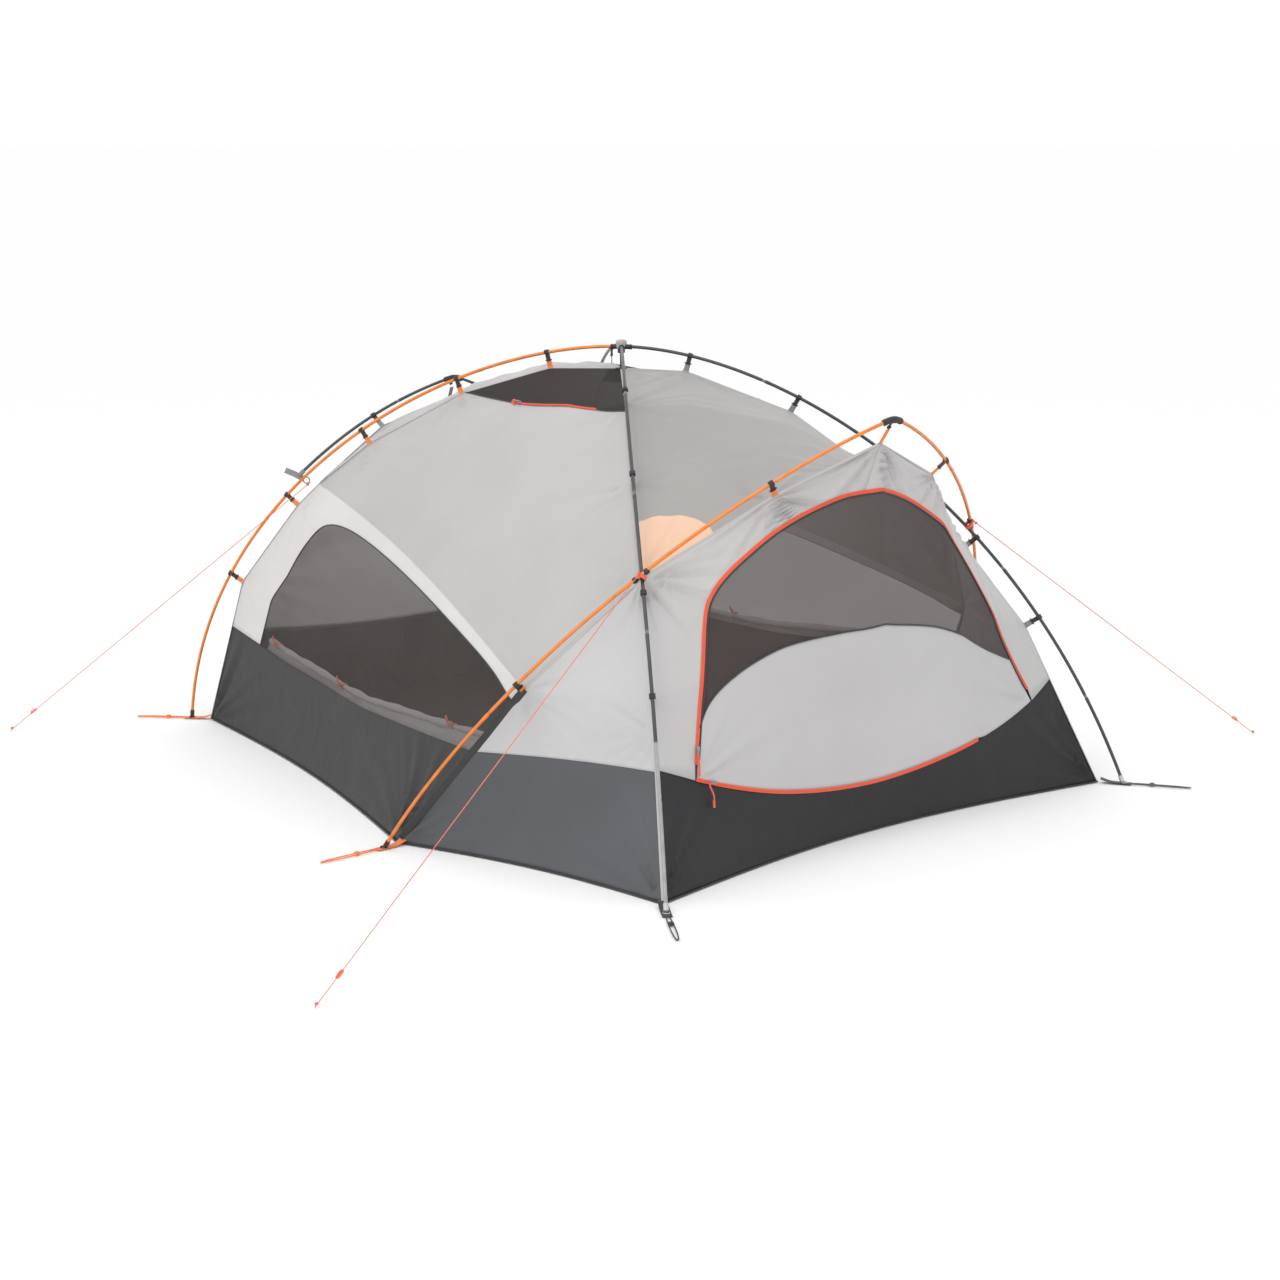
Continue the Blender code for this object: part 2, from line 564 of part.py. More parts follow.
# Poles, tips in the feet and upper ends in the hubs
for side, word in ((LEFT, "left"), (RIGHT, "right")):
    letter = {"left": "b", "right": "a"}
    for maker, place, mat in ((front_pole, "front", GREY), (rear_pole, "rear", ORANGE if side == LEFT else GREY)):
        curve = trim(maker(side), SOCKET_START, TIP)
        pole = letter[word] if place == "front" else letter["right" if word == "left" else "left"]
        sweep(f"pole_{pole}_{place}", resample(curve, 46), circle(POLE_R), mat, round_=True)
    curve = trim(hoop_pole(side), TIP, SOCKET_START)
    sweep(f"hoop_{word}", resample(curve, 34), circle(POLE_R), ORANGE, round_=True)
    curve = trim(brow_pole(side), 0, SOCKET_START)
    sweep(f"brow_{word}", resample(curve, 19), circle(POLE_R), GREY, round_=True)


def hub(name, centre, arms, mat, core, length=0.036):
    """Moulded hub: a core and one socket sleeve per pole, bored for the pole ends."""
    centre = np.asarray(centre, float)
    arms = [unit(np.asarray(a, float)) for a in arms]
    body = sweep(name, np.array([centre - [0, 0, core[1]], centre + [0, 0, core[2]]]), circle(core[0], 14), mat,
                 hint=np.array([0.31, 1.0, 0.01]))
    for k, arm in enumerate(arms):
        rod = sweep("arm", np.array([centre + arm * (0.001 + 0.0008 * k), centre + arm * length]),
                    circle(0.0085, 12), mat, hint=np.array([0.03 + 0.05 * k, 0.02, 1.0]))
        combine(body, rod, "UNION")
    for arm in arms:
        bore = sweep("bore", np.array([centre + arm * 0.0112, centre + arm * (length + 0.01)]),
                     circle(POLE_R + 0.0011, 12), mat)
        combine(body, bore, "DIFFERENCE")
    return body


def lead(curve, start=True):
    ends = curve[[0, 6]] if start else curve[[-1, -7]]
    return ends[1] - ends[0]


hub("hub_crown", (0, 0, HEIGHT), [lead(front_pole(s)) for s in (LEFT, RIGHT)]
    + [lead(rear_pole(s)) for s in (LEFT, RIGHT)], CROWN_HUB, (0.013, 0.010, 0.022))
hub("hub_front", hoop_pole(LEFT)[-1], [lead(hoop_pole(s), False) for s in (LEFT, RIGHT)], HUB,
    (0.0125, 0.011, 0.011), 0.040)
hub("hub_rear", brow_pole(LEFT)[-1], [lead(brow_pole(s), False) for s in (LEFT, RIGHT)], HUB,
    (0.0125, 0.011, 0.011), 0.040)


def hook(base, target, tangent):
    """Webbing strap that ends in an open hook around a pole, cut as one flat piece."""
    rise = unit(target - base)
    drop = np.linalg.norm(target - base)
    tangent = unit(tangent - (tangent @ rise) * rise)
    side = np.cross(rise, tangent)
    inner, outer, half_ = POLE_R + 0.0012, POLE_R + 0.0034, 0.0012
    a = np.arcsin(half_ / outer)
    b = np.arcsin(half_ / inner)
    out = np.linspace(-(np.pi - a), np.radians(100), 9)
    back = np.linspace(np.radians(100), -(np.pi + b), 9)
    shape = [(-0.0035, -half_)] + [(drop + outer * np.cos(t), outer * np.sin(t)) for t in out]
    shape += [(drop + inner * np.cos(t), inner * np.sin(t)) for t in back] + [(-0.0035, half_)]
    flat = np.array([base + rise * x + side * y for x, y in shape])
    k = len(flat)
    verts = np.vstack([flat - tangent * CLIP_WIDTH / 2, flat + tangent * CLIP_WIDTH / 2])
    faces = [tuple(range(k)), tuple(range(k, 2 * k))[::-1]]
    faces += [(i, (i + 1) % k, (i + 1) % k + k, i + k) for i in range(k)]
    return make("hook", verts, faces, TAPES)


def strap(a, b, width, wide):
    """Plain webbing strap between two points."""
    return sweep("strap", np.array([a, b]), rectangle(width, 0.0022), TAPES, hint=np.cross(unit(b - a), wide))


def tape(name, curve, normal, clips, extra=()):
    """Seam tape with the straps and hooks sewn to it."""
    body = sweep(name, curve, rectangle(*TAPE), TAPES, hint=normal)
    hooks = []
    fine = resample(curve, 2001)
    for pole, share in clips:
        i = int(round(share * (len(pole) - 1)))
        base = fine[np.linalg.norm(fine - pole[i], axis=1).argmin()]
        i = int(np.clip(np.linalg.norm(pole - base, axis=1).argmin(), 1, len(pole) - 2))
        hooks.append(hook(base, pole[i], pole[i + 1] - pole[i - 1]))
    hooks += list(extra)
    if hooks:
        combine(body, joined(hooks), "UNION")
    return body


for side, word in ((LEFT, "left"), (RIGHT, "right")):
    front, rear, hoop = front_pole(side), rear_pole(side), hoop_pole(side)
    high = CLIPS_FRONT_LEFT if side == LEFT else CLIPS_FRONT_RIGHT
    line = trim(np.vstack([seam["front_up", side], seam["front_low", side][1:]]), 0.016, 0.012)
    clips = [(front, s) for s in (*high, CLIP_CROSS, CLIP_FRONT_LOW)]
    name = "seam_b_front" if side == LEFT else "seam_a_front"
    knots = resample(line, 49)
    tape(name, knots, unit(np.array([side * 0.5, -0.7, 0.9])), clips)
    line = trim(np.vstack([seam["rear_up", side], seam["rear_low", side][1:]]), 0.016, 0.012)
    clips = [(rear, s) for s in (*CLIPS_REAR, *CLIPS_REAR_LOW)]
    name = "seam_a_rear" if side == LEFT else "seam_b_rear"
    tape(name, resample(line, 49), unit(np.array([side * 0.6, 0.75, 0.9])), clips)
legs = [np.vstack([seam["hoop_up", s][::-1], seam["leg", s][1:]]) for s in (LEFT, RIGHT)]
arch_line = trim(np.vstack([legs[0][::-1], legs[1][1:]]), 0.012, 0.012, 401)
near_cross = np.minimum(*[np.linalg.norm(arch_line - seam["front_low", s][0], axis=1) for s in (LEFT, RIGHT)])
out = unit(arch_line - np.array([0, -0.2, 0.1]))
arch_line = arch_line + out * 0.0042 * np.clip(1.6 - near_cross[:, None] / 0.02, 0, 1)
clips = [(hoop_pole(s), q) for s in (LEFT, RIGHT) for q in (KNEE_HOOP, CLIP_HOOP_HIGH)]
sewn = [seam["hoop_low", LEFT][0], seam["hoop_low", RIGHT][0], np.array(HOOD_PEAK)]
sewn = [int(np.linalg.norm(arch_line - p, axis=1).argmin()) for p in sewn]
keep = np.unique(np.r_[0:401:12, np.nonzero(near_cross < 0.03)[0][::2], sewn, 400])
front_hub = hoop_pole(LEFT)[-1]
peak = np.array(HOOD_PEAK)
tie = strap(peak, peak + (front_hub - peak) * 0.82, 0.014, np.array([1.0, 0, 0]))
tape("seam_hoop", arch_line[keep], out[keep], clips, [tie])
line = trim(brow, 0.014, 0.014)
rear_hub = brow_pole(LEFT)[-1]
peak = np.array(BROW_CLOTH_PEAK)
tie = strap(peak, peak + (rear_hub - peak) * 0.80, 0.014, np.array([1.0, 0, 0]))
clips = [(brow_pole(s), 0.5) for s in (LEFT, RIGHT)]
tape("seam_brow", resample(line, 21), unit(np.array([0, 0.7, 0.8])), clips, [tie])
patch_ = sweep("crown_tab", np.array([[0, 0, CROWN_Z - 0.001], [0, 0, CROWN_Z + 0.001]]), circle(0.013, 12), TAPES,
               hint=np.array([1.0, 0, 0]))
tie = strap(np.array([0, 0, CROWN_Z]), np.array([0, 0, HEIGHT - 0.0115]), 0.010, np.array([1.0, 0, 0]))
combine(patch_, tie, "UNION")


def foot(name, at, pole, out, length):
    """Corner foot: webbing tab on the ground, a cup up the pole and a pegging loop."""
    at, out = np.array([*at, 0.0]), unit(np.array([*out, 0.0]))
    inner = at - out * 0.050
    body = sweep(name, np.array([inner + [0, 0, 0.0015], at + out * 0.022 + [0, 0, 0.0015]]),
                 rectangle(0.024, 0.003), FOOT)
    pole = unit(pole)
    low = (CUP[0] * np.sqrt(1 - pole[2] ** 2) + 0.0006) / pole[2]
    cup = sweep("cup", np.array([at + pole * low, at + pole * CUP[1]]), circle(CUP[0], 14), FOOT,
                hint=np.array([1.0, 0.1, 0]))
    combine(body, cup, "UNION")
    bore = sweep("bore", np.array([at + pole * (TIP - 0.0008), at + pole * (CUP[1] + 0.01)]),
                 circle(POLE_R + 0.0008, 14), FOOT, hint=np.array([1.0, 0.1, 0]))
    combine(body, bore, "DIFFERENCE")
    a = np.linspace(0, 2 * np.pi, 28, endpoint=False)
    across = np.cross([0, 0, 1.0], out)
    mid, long_ = at + out * (0.014 + length) / 2, (length - 0.014) / 2
    x = np.cos(a) * np.abs(np.cos(a)) ** -0.3
    x = np.clip(x / np.abs(x).max(), -1, 1)
    path = mid + out * x[:, None] * long_ + across * 0.007 * np.sin(a)[:, None] + [0, 0, LOOP_CORD]
    ring = closed_tube("ring", path, LOOP_CORD)
    return combine(body, ring, "UNION")


def closed_tube(name, path, radius):
    tangent = unit(np.roll(path, -1, 0) - np.roll(path, 1, 0))
    side = unit(np.cross(tangent, [0, 0, 1.0]))
    ring = circle(radius, 6)
    verts = path[:, None] + side[:, None] * ring[None, :, :1] + np.array([0, 0, 1.0]) * ring[None, :, 1:]
    n, k = len(path), len(ring)
    idx = np.arange(n * k).reshape(n, k)
    nxt, after = np.roll(idx, -1, axis=1), np.roll(idx, -1, axis=0)
    both = np.roll(nxt, -1, axis=0)
    faces = [tuple(int(i) for i in f) for f in zip(idx.ravel(), nxt.ravel(), both.ravel(), after.ravel())]
    return make(name, verts.reshape(-1, 3), faces, FOOT)


for side, word in ((LEFT, "left"), (RIGHT, "right")):
    up_front, up_rear, up_side = front_pole(side)[::-1], rear_pole(side)[::-1], hoop_pole(side)
    for place, at, pole in (("front", FRONT_FOOT, up_front), ("side", SIDE_FOOT, up_side),
                            ("rear", REAR_FOOT, up_rear)):
        (ox, oy), length = LOOPS[place]
        foot(f"foot_{place}_{word}", (side * at[0], at[1]), pole[2] - pole[0], (side * ox, oy), length)


# Door zip, its sliders, and the vent zip
def slot_line(key, uv):
    """Points and outward normals of a wall along a line of shares."""
    at = wall[key]
    p = at(uv[:, 0], uv[:, 1])
    normal = unit(np.cross(*basis(key, uv)))
    outward = p - np.array([0, 0, 0.4])
    flip = np.sign((normal * outward).sum(1, keepdims=True))
    return p, normal * flip


stop = int(np.searchsorted(sill_u, ZIP_END))
mid_u = np.r_[outline[0, 0], sill_u[1:stop]]
sill_mid = np.column_stack([mid_u, tub_top("front", mid_u) - ZIP_GAP / column("front", mid_u)])
points, normals = slot_line("front", np.vstack([outline[::-1][1:-1], sill_mid]))
sweep("zip_door", points, rectangle(*ZIP), CORAL, hint=normals)


def slider(name, at, along_, normal):
    """Zip slider body lying on the zip, with a pull tab at its tail."""
    along_, normal = unit(along_), unit(normal)
    base = at + normal * (ZIP[1] / 2 + SLIDER_GAP + 0.002)
    body = sweep(name, np.array([base - along_ * 0.007, base + along_ * 0.007]), rectangle(0.009, 0.004), SLIDER,
                 hint=normal)
    a = base + normal * 0.0025 - along_ * 0.002
    pull = sweep("pull", np.array([a, a - along_ * 0.030]), rectangle(0.005, 0.002), SLIDER, hint=normal)
    return combine(body, pull, "UNION")


side_line, side_normal = slot_line("front", resample(outline[1:4], 9))
slider("slider_side", side_line[1], side_line[6] - side_line[1], side_normal[3])
low_line, low_normal = slot_line("front", sill_mid)
slider("slider_sill", low_line[1], low_line[4] - low_line[1], low_normal[2])
vent_uv = smooth(VENT, 25)[8:20:2]
vent_line, vent_normals = slot_line(("roof", LEFT), vent_uv)
sweep("zip_vent", vent_line, rectangle(0.005, 0.002), CORAL, hint=vent_normals)
slider("slider_vent", vent_line[0] * 0.8 + vent_line[1] * 0.2, vent_line[1] - vent_line[0], vent_normals[0])


# Guylines with their tensioners
def guyline(name, top, end):
    top, end = np.asarray(top, float), np.array([*end, GUY_R + 0.0006])
    away = unit(end - top)
    sweep(f"guy_{name}", resample([top, end], 12), circle(GUY_R, 6), CORD, hint=np.array([0, 0, 1.0]))
    middle = end - away * TENSIONER_AT
    body = sweep(f"tensioner_{name}", np.array([middle - away * 0.016, middle + away * 0.016]),
                 rectangle(0.012, 0.007), CORD, hint=np.array([0, 0, 1.0]))
    bore = sweep("bore", np.array([middle - away * 0.020, middle + away * 0.020]), circle(GUY_R + 0.0006, 10), CORD,
                 hint=np.array([0, 0, 1.0]))
    return combine(body, bore, "DIFFERENCE")


for side, word, end in ((LEFT, "left", GUY_FRONT_LEFT_END), (RIGHT, "right", GUY_FRONT_RIGHT_END)):
    hoop = hoop_pole(side)
    knot = int(GUY_SHARE * (len(hoop) - 1))
    guyline(f"front_{word}", hoop[knot] - inward(hoop)[knot] * (POLE_R + 0.004), end)
guyline("rear_left", np.array(REAR_CROSS) * [-1, 1, 1] + GUY_REAR_KNOT, GUY_REAR_END)


def set_origin(names, point):
    """Moving pieces take their origin on their joint's axis."""
    for name in names:
        obj = bpy.data.objects[name]
        obj.data.transform(Matrix.Translation(-Vector(point)))
        obj.location = point


def middle_of(name):
    """Mean of a piece's vertices."""
    return np.mean([v.co for v in bpy.data.objects[name].data.vertices], axis=0)


hinge_u = np.array([ZIP_END, outline[-1, 0]])
hinge = wall["front"](hinge_u, tub_top("front", hinge_u) - ZIP_GAP / column("front", hinge_u))
set_origin(("door_panel", "door_mesh"), hinge.mean(0))
for name in ("slider_side", "slider_sill", "slider_vent", "tensioner_front_left", "tensioner_front_right",
             "tensioner_rear_left"):
    set_origin((name,), middle_of(name))
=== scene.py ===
"""Dome tent, pitched without its fly: clipped inner tent, crossed poles, front hoop, brow pole, guylines."""

import math

import bpy
import numpy as np
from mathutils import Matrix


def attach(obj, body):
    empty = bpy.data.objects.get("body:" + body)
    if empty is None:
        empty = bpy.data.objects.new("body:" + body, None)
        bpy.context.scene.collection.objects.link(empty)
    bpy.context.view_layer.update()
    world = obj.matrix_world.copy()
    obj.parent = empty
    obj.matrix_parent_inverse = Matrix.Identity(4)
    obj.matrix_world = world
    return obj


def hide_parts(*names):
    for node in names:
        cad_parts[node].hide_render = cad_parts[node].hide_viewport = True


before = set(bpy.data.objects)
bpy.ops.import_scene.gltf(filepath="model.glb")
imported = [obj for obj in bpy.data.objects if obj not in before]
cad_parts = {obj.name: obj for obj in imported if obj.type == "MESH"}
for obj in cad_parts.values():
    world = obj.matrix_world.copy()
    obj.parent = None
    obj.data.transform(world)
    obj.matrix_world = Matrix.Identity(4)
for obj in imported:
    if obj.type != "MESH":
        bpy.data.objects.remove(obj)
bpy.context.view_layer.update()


# Studio: a pale floor just under the tent's own floor, a broad softbox overhead, a fill from the door side,
# an even white sky, and the camera at eye height off the left front corner.
def plain_material(name, colour, rough):
    """Principled material with the same colour and roughness all over."""
    mat = bpy.data.materials.new(name)
    mat.use_nodes = True
    shader = mat.node_tree.nodes["Principled BSDF"]
    shader.inputs["Base Color"].default_value = (*colour, 1)
    shader.inputs["Roughness"].default_value = rough
    return mat


def soft_light(name, place, target, size, power):
    """Square area light of that size at a place, turned to the target."""
    lamp = bpy.data.lights.new(name, "AREA")
    lamp.shape, lamp.size, lamp.energy = "SQUARE", size, power
    obj = bpy.data.objects.new(name, lamp)
    obj.location = place
    aim = np.subtract(target, place)
    tilt, turn = math.atan2(math.hypot(aim[0], aim[1]), -aim[2]), math.atan2(aim[1], aim[0])
    obj.rotation_euler = (tilt, 0, turn - math.pi / 2)
    bpy.context.scene.collection.objects.link(obj)


half, low = 400.0, -0.0015
floor_mesh = bpy.data.meshes.new("studio_floor")
floor_corners = [(-half, -half, low), (half, -half, low), (half, half, low), (-half, half, low)]
floor_mesh.from_pydata(floor_corners, [], [(0, 1, 2, 3)])
studio_floor = bpy.data.objects.new("studio_floor", floor_mesh)
studio_floor.data.materials.append(plain_material("studio_white", (0.93, 0.93, 0.93), 0.9))
bpy.context.scene.collection.objects.link(studio_floor)
soft_light("overhead_softbox", (-1.5, -1.0, 4.4), (0, 0, 0.3), 3.0, 40)
soft_light("left_side_fill", (-5.0, -2.5, 2.2), (0, 0, 0.6), 2.5, 20)
glow = bpy.data.lights.new("light_through_the_cloth", "POINT")
glow.energy, glow.shadow_soft_size = 12.0, 0.30
lantern = bpy.data.objects.new("light_through_the_cloth", glow)
lantern.location, lantern.visible_camera = (0, 0.1, 0.55), False
bpy.context.scene.collection.objects.link(lantern)
world = bpy.data.worlds.new("even_sky")
world.use_nodes = True
world.node_tree.nodes["Background"].inputs["Color"].default_value = (1, 1, 1, 1)
world.node_tree.nodes["Background"].inputs["Strength"].default_value = 1.06
bpy.context.scene.world = world
bpy.context.scene.view_settings.view_transform = "Standard"
lens = bpy.data.cameras.new("camera")
lens.lens, lens.sensor_width, lens.clip_end = 65.0, 36.0, 2000.0
camera = bpy.data.objects.new("camera", lens)
camera.location = (-4.166, -4.923, 1.741)
camera.rotation_euler = (math.radians(77.70), 0, math.radians(-40.70))
bpy.context.scene.collection.objects.link(camera)
bpy.context.scene.camera = camera


# Poles: anodised aluminium tubes 9 mm across in sections of about 0.42 m, plugged into each other over
# insert ferrules. Two long poles cross at the crown, a hoop leans over the door, a brow pole spans the rear.
POLE_R = 0.0045
CROWN = 1.170
FRONT_FOOT, REAR_FOOT, SIDE_FOOT = (0.837, -1.145), (0.730, 1.175), (1.042, -0.308)
HOOP_PEAK, BROW_PEAK = (-1.038, 1.064), (0.787, 1.026)
BROW_END = (0.532, 0.840, 0.766)
SECTION = 0.42
LEFT, RIGHT = -1, 1


def unit(v):
    """Vectors divided by their lengths."""
    return v / np.linalg.norm(v, axis=-1, keepdims=True)


def bezier(points, n):
    """Cubic Bezier curve of four points at n even values of t."""
    t = np.linspace(0, 1, n)[:, None]
    a, b, c, d = [np.asarray(p, float) for p in points]
    return (1 - t) ** 3 * a + 3 * (1 - t) ** 2 * t * b + 3 * (1 - t) * t**2 * c + t**3 * d


def long_pole(foot, pull, lean, knee, bow, side, n=161):
    """Half of a long pole, crown to foot: a Bezier in its upright plane, swung sideways by bow sin(pi s)."""
    foot = np.array([side * foot[0], foot[1]])
    reach = np.hypot(*foot)
    prof = bezier([(0, CROWN), (pull * reach, CROWN), (reach * (1 - lean), knee), (reach, 0)], n)
    out = foot / reach
    across = side * np.array([-out[1], out[0]])
    swing = bow * np.sin(np.pi * prof[:, :1] / reach)
    return np.column_stack([prof[:, :1] * out + across * swing, prof[:, 1]])


def front_pole(side):
    """Front half of a long pole."""
    return long_pole(FRONT_FOOT, 0.292, 0.224, 0.805, 0.023, side)


def rear_pole(side):
    """Rear half of a long pole."""
    return long_pole(REAR_FOOT, 0.406, 0.038, 0.683, -0.008, side)


def hoop_pole(side, n=161):
    """Half of the leaning hoop, foot to elbow: a Bezier in its leaning plane, bowed out by a half sine."""
    dy, dz = HOOP_PEAK[0] - SIDE_FOOT[1], HOOP_PEAK[1]
    rise = np.hypot(dy, dz)
    up = np.array([dy, dz]) / rise
    m = bezier([(SIDE_FOOT[0], 0), (SIDE_FOOT[0] - 0.095, 0.503), (0.49, rise - 0.195), (0, rise)], n)
    bow = 0.017 * np.sin(np.pi * m[:, 1] / rise)
    y, z = SIDE_FOOT[1] + m[:, 1] * up[0] + up[1] * bow, m[:, 1] * up[1] - up[0] * bow
    return np.column_stack([side * m[:, 0], y, z])


def brow_pole(side, n=81):
    """Half of the brow pole, end to elbow: a parabola of three points."""
    t = np.linspace(0, 1, n)[:, None]
    start, end = np.array([side * BROW_END[0], *BROW_END[1:]]), np.array([0, *BROW_PEAK])
    middle = (start + end) / 2 + np.array([0, 0.045, 0.055])
    return (1 - t) ** 2 * start + 2 * (1 - t) * t * middle + t**2 * end


def distance(points):
    """Length along a line of points up to each of them."""
    return np.r_[0, np.cumsum(np.linalg.norm(np.diff(points, axis=0), axis=1))]


def resample(points, n):
    """The line of points at n even steps of its length."""
    points = np.asarray(points, float)
    length = distance(points)
    t = np.linspace(0, length[-1], n)
    return np.stack([np.interp(t, length, points[:, k]) for k in range(points.shape[1])], -1)


def along(curve, s):
    """Points of an evenly spaced curve at shares s of its length."""
    x = np.linspace(0, 1, len(curve))
    return np.stack([np.interp(s, x, curve[:, k]) for k in range(curve.shape[1])], -1)


def trim(curve, start, end, n=161):
    """The curve without its first and last bit of length."""
    length = distance(curve)[-1]
    return along(resample(curve, n), np.linspace(start / length, 1 - end / length, n))


def skin(grid, wrap=True, caps=True):
    """Faces of a grid: quads between neighbours, round again if it wraps, and its end rings filled."""
    m, n = grid.shape[:2]
    k = np.arange(m * n).reshape(m, n)
    nxt = np.roll(k, -1, axis=1) if wrap else k[:, 1:]
    k0 = k if wrap else k[:, :-1]
    quads = np.stack([k0[:-1], nxt[:-1], nxt[1:], k0[1:]], -1).reshape(-1, 4)
    faces = [quads]
    if wrap and caps:
        faces += [k[:1, ::-1], k[-1:]]
    return grid.reshape(-1, 3), faces


def tube(path, radius, sides=12, hint=None):
    """Round bar: the circle p(s) + r(s) (cos a side + sin a up) carried along the path p(s), ends filled."""
    path = np.asarray(path, float)
    tangent = unit(np.gradient(path, axis=0))
    if hint is None:
        hint = np.linalg.svd(path - path.mean(0))[2][2]
    up = unit(hint - (tangent @ hint)[:, None] * tangent)
    side = np.cross(up, tangent)
    a = np.linspace(0, 2 * np.pi, sides, endpoint=False)[None, :, None]
    r = np.broadcast_to(radius, len(path))[:, None, None]
    return skin(path[:, None] + r * (np.cos(a) * side[:, None] + np.sin(a) * up[:, None]))


def signed_volume(verts, faces):
    """Sum of the tetrahedra between the origin and each face, fanned from its first corner."""
    total = 0.0
    for f in faces:
        for i in range(1, f.shape[1] - 1):
            total += (verts[f[:, 0]] * np.cross(verts[f[:, i]], verts[f[:, i + 1]])).sum()
    return total / 6


def build(name, parts, mat, body="tent", nodes=(), uv=None, closed=True, smooth=True, sharp=None):
    """One object of several skins; closed skins are turned to face outwards. It rides on its body."""
    verts, loops, sizes, start = [], [], [], 0
    for v, faces in parts:
        v = np.asarray(v, float)
        turned = closed and signed_volume(v - v.mean(0), faces) < 0
        for f in faces:
            f = f[:, ::-1] if turned else f
            loops.append((f + start).ravel())
            sizes.append(np.full(len(f), f.shape[1]))
        verts.append(v)
        start += len(v)
    verts, loops, sizes = np.vstack(verts), np.concatenate(loops), np.concatenate(sizes)
    mesh = bpy.data.meshes.new(name)
    mesh.vertices.add(len(verts))
    mesh.vertices.foreach_set("co", verts.astype(np.float32).ravel())
    mesh.loops.add(len(loops))
    mesh.loops.foreach_set("vertex_index", loops.astype(np.int32))
    mesh.polygons.add(len(sizes))
    mesh.polygons.foreach_set("loop_start", np.r_[0, np.cumsum(sizes)[:-1]].astype(np.int32))
    mesh.update(calc_edges=True)
    mesh.validate()
    mesh.polygons.foreach_set("use_smooth", np.full(len(sizes), smooth))
    if uv is not None:
        layer = mesh.uv_layers.new(name="metres")
        layer.data.foreach_set("uv", np.asarray(uv, np.float32)[loops].ravel())
    if sharp is not None:
        mesh.set_sharp_from_angle(angle=math.radians(sharp))
    mesh.materials.append(mat)
    obj = bpy.data.objects.new(name, mesh)
    bpy.context.scene.collection.objects.link(obj)
    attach(obj, body)
    if nodes:
        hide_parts(*nodes)
    return obj


def value_attribute(obj, name, values):
    """A number at each vertex, for the material to read."""
    layer = obj.data.attributes.new(name, "FLOAT", "POINT")
    layer.data.foreach_set("value", np.asarray(values, np.float32).ravel())


def group(name, inputs, outputs):
    """Empty shader node group with named inputs {name: (type, default)} and outputs {name: type}."""
    tree = bpy.data.node_groups.new(name, "ShaderNodeTree")
    for label, (kind, default) in inputs.items():
        tree.interface.new_socket(label, in_out="INPUT", socket_type=kind).default_value = default
    for label, kind in outputs.items():
        tree.interface.new_socket(label, in_out="OUTPUT", socket_type=kind)
    return tree, tree.nodes.new("NodeGroupInput"), tree.nodes.new("NodeGroupOutput")


def add(tree, kind, settings=None, **inputs):
    """Node of that kind with its settings; inputs given by name or _number are values or sockets to link."""
    node = tree.nodes.new(kind)
    for key, value in (settings or {}).items():
        setattr(node, key, value)
    for key, value in inputs.items():
        numbered = key[0] == "_" and key[1:].isdigit()
        socket = node.inputs[int(key[1:]) if numbered else key.replace("_", " ")]
        if isinstance(value, bpy.types.NodeSocket):
            tree.links.new(value, socket)
        else:
            socket.default_value = value
    return node


def surface_wear():
    """Group: fine grain and long faint streaks that vary a colour, a roughness and a bump height."""
    tree, start, end = group("surface_wear", {
        "Color": ("NodeSocketColor", (0.5, 0.5, 0.5, 1)), "Roughness": ("NodeSocketFloat", 0.4),
        "Grain": ("NodeSocketFloat", 900.0), "Depth": ("NodeSocketFloat", 0.1),
        "Tint": ("NodeSocketFloat", 0.12)}, {
        "Color": "NodeSocketColor", "Roughness": "NodeSocketFloat", "Normal": "NodeSocketVector"})
    place = add(tree, "ShaderNodeTexCoord").outputs["Object"]
    fine = add(tree, "ShaderNodeTexNoise", Vector=place, Scale=start.outputs["Grain"], Detail=2.0)
    broad = add(tree, "ShaderNodeTexNoise", Vector=place, Scale=35.0, Detail=4.0)
    shift = add(tree, "ShaderNodeMapRange", _0=broad.outputs["Fac"], _1=0.3, _2=0.7, _3=-1.0, _4=1.0)
    amount = add(tree, "ShaderNodeMath", {"operation": "MULTIPLY_ADD"}, _0=shift.outputs[0],
                 _1=start.outputs["Tint"], _2=1.0)
    tinted = add(tree, "ShaderNodeVectorMath", {"operation": "SCALE"}, _0=start.outputs["Color"],
                 Scale=amount.outputs[0])
    rough = add(tree, "ShaderNodeMath", {"operation": "MULTIPLY_ADD"}, _0=fine.outputs["Fac"], _1=0.18,
                _2=start.outputs["Roughness"])
    bump = add(tree, "ShaderNodeBump", Height=fine.outputs["Fac"], Strength=start.outputs["Depth"],
               Distance=0.0003)
    tree.links.new(tinted.outputs[0], end.inputs["Color"])
    tree.links.new(rough.outputs[0], end.inputs["Roughness"])
    tree.links.new(bump.outputs[0], end.inputs["Normal"])
    return tree


WEAR = surface_wear()


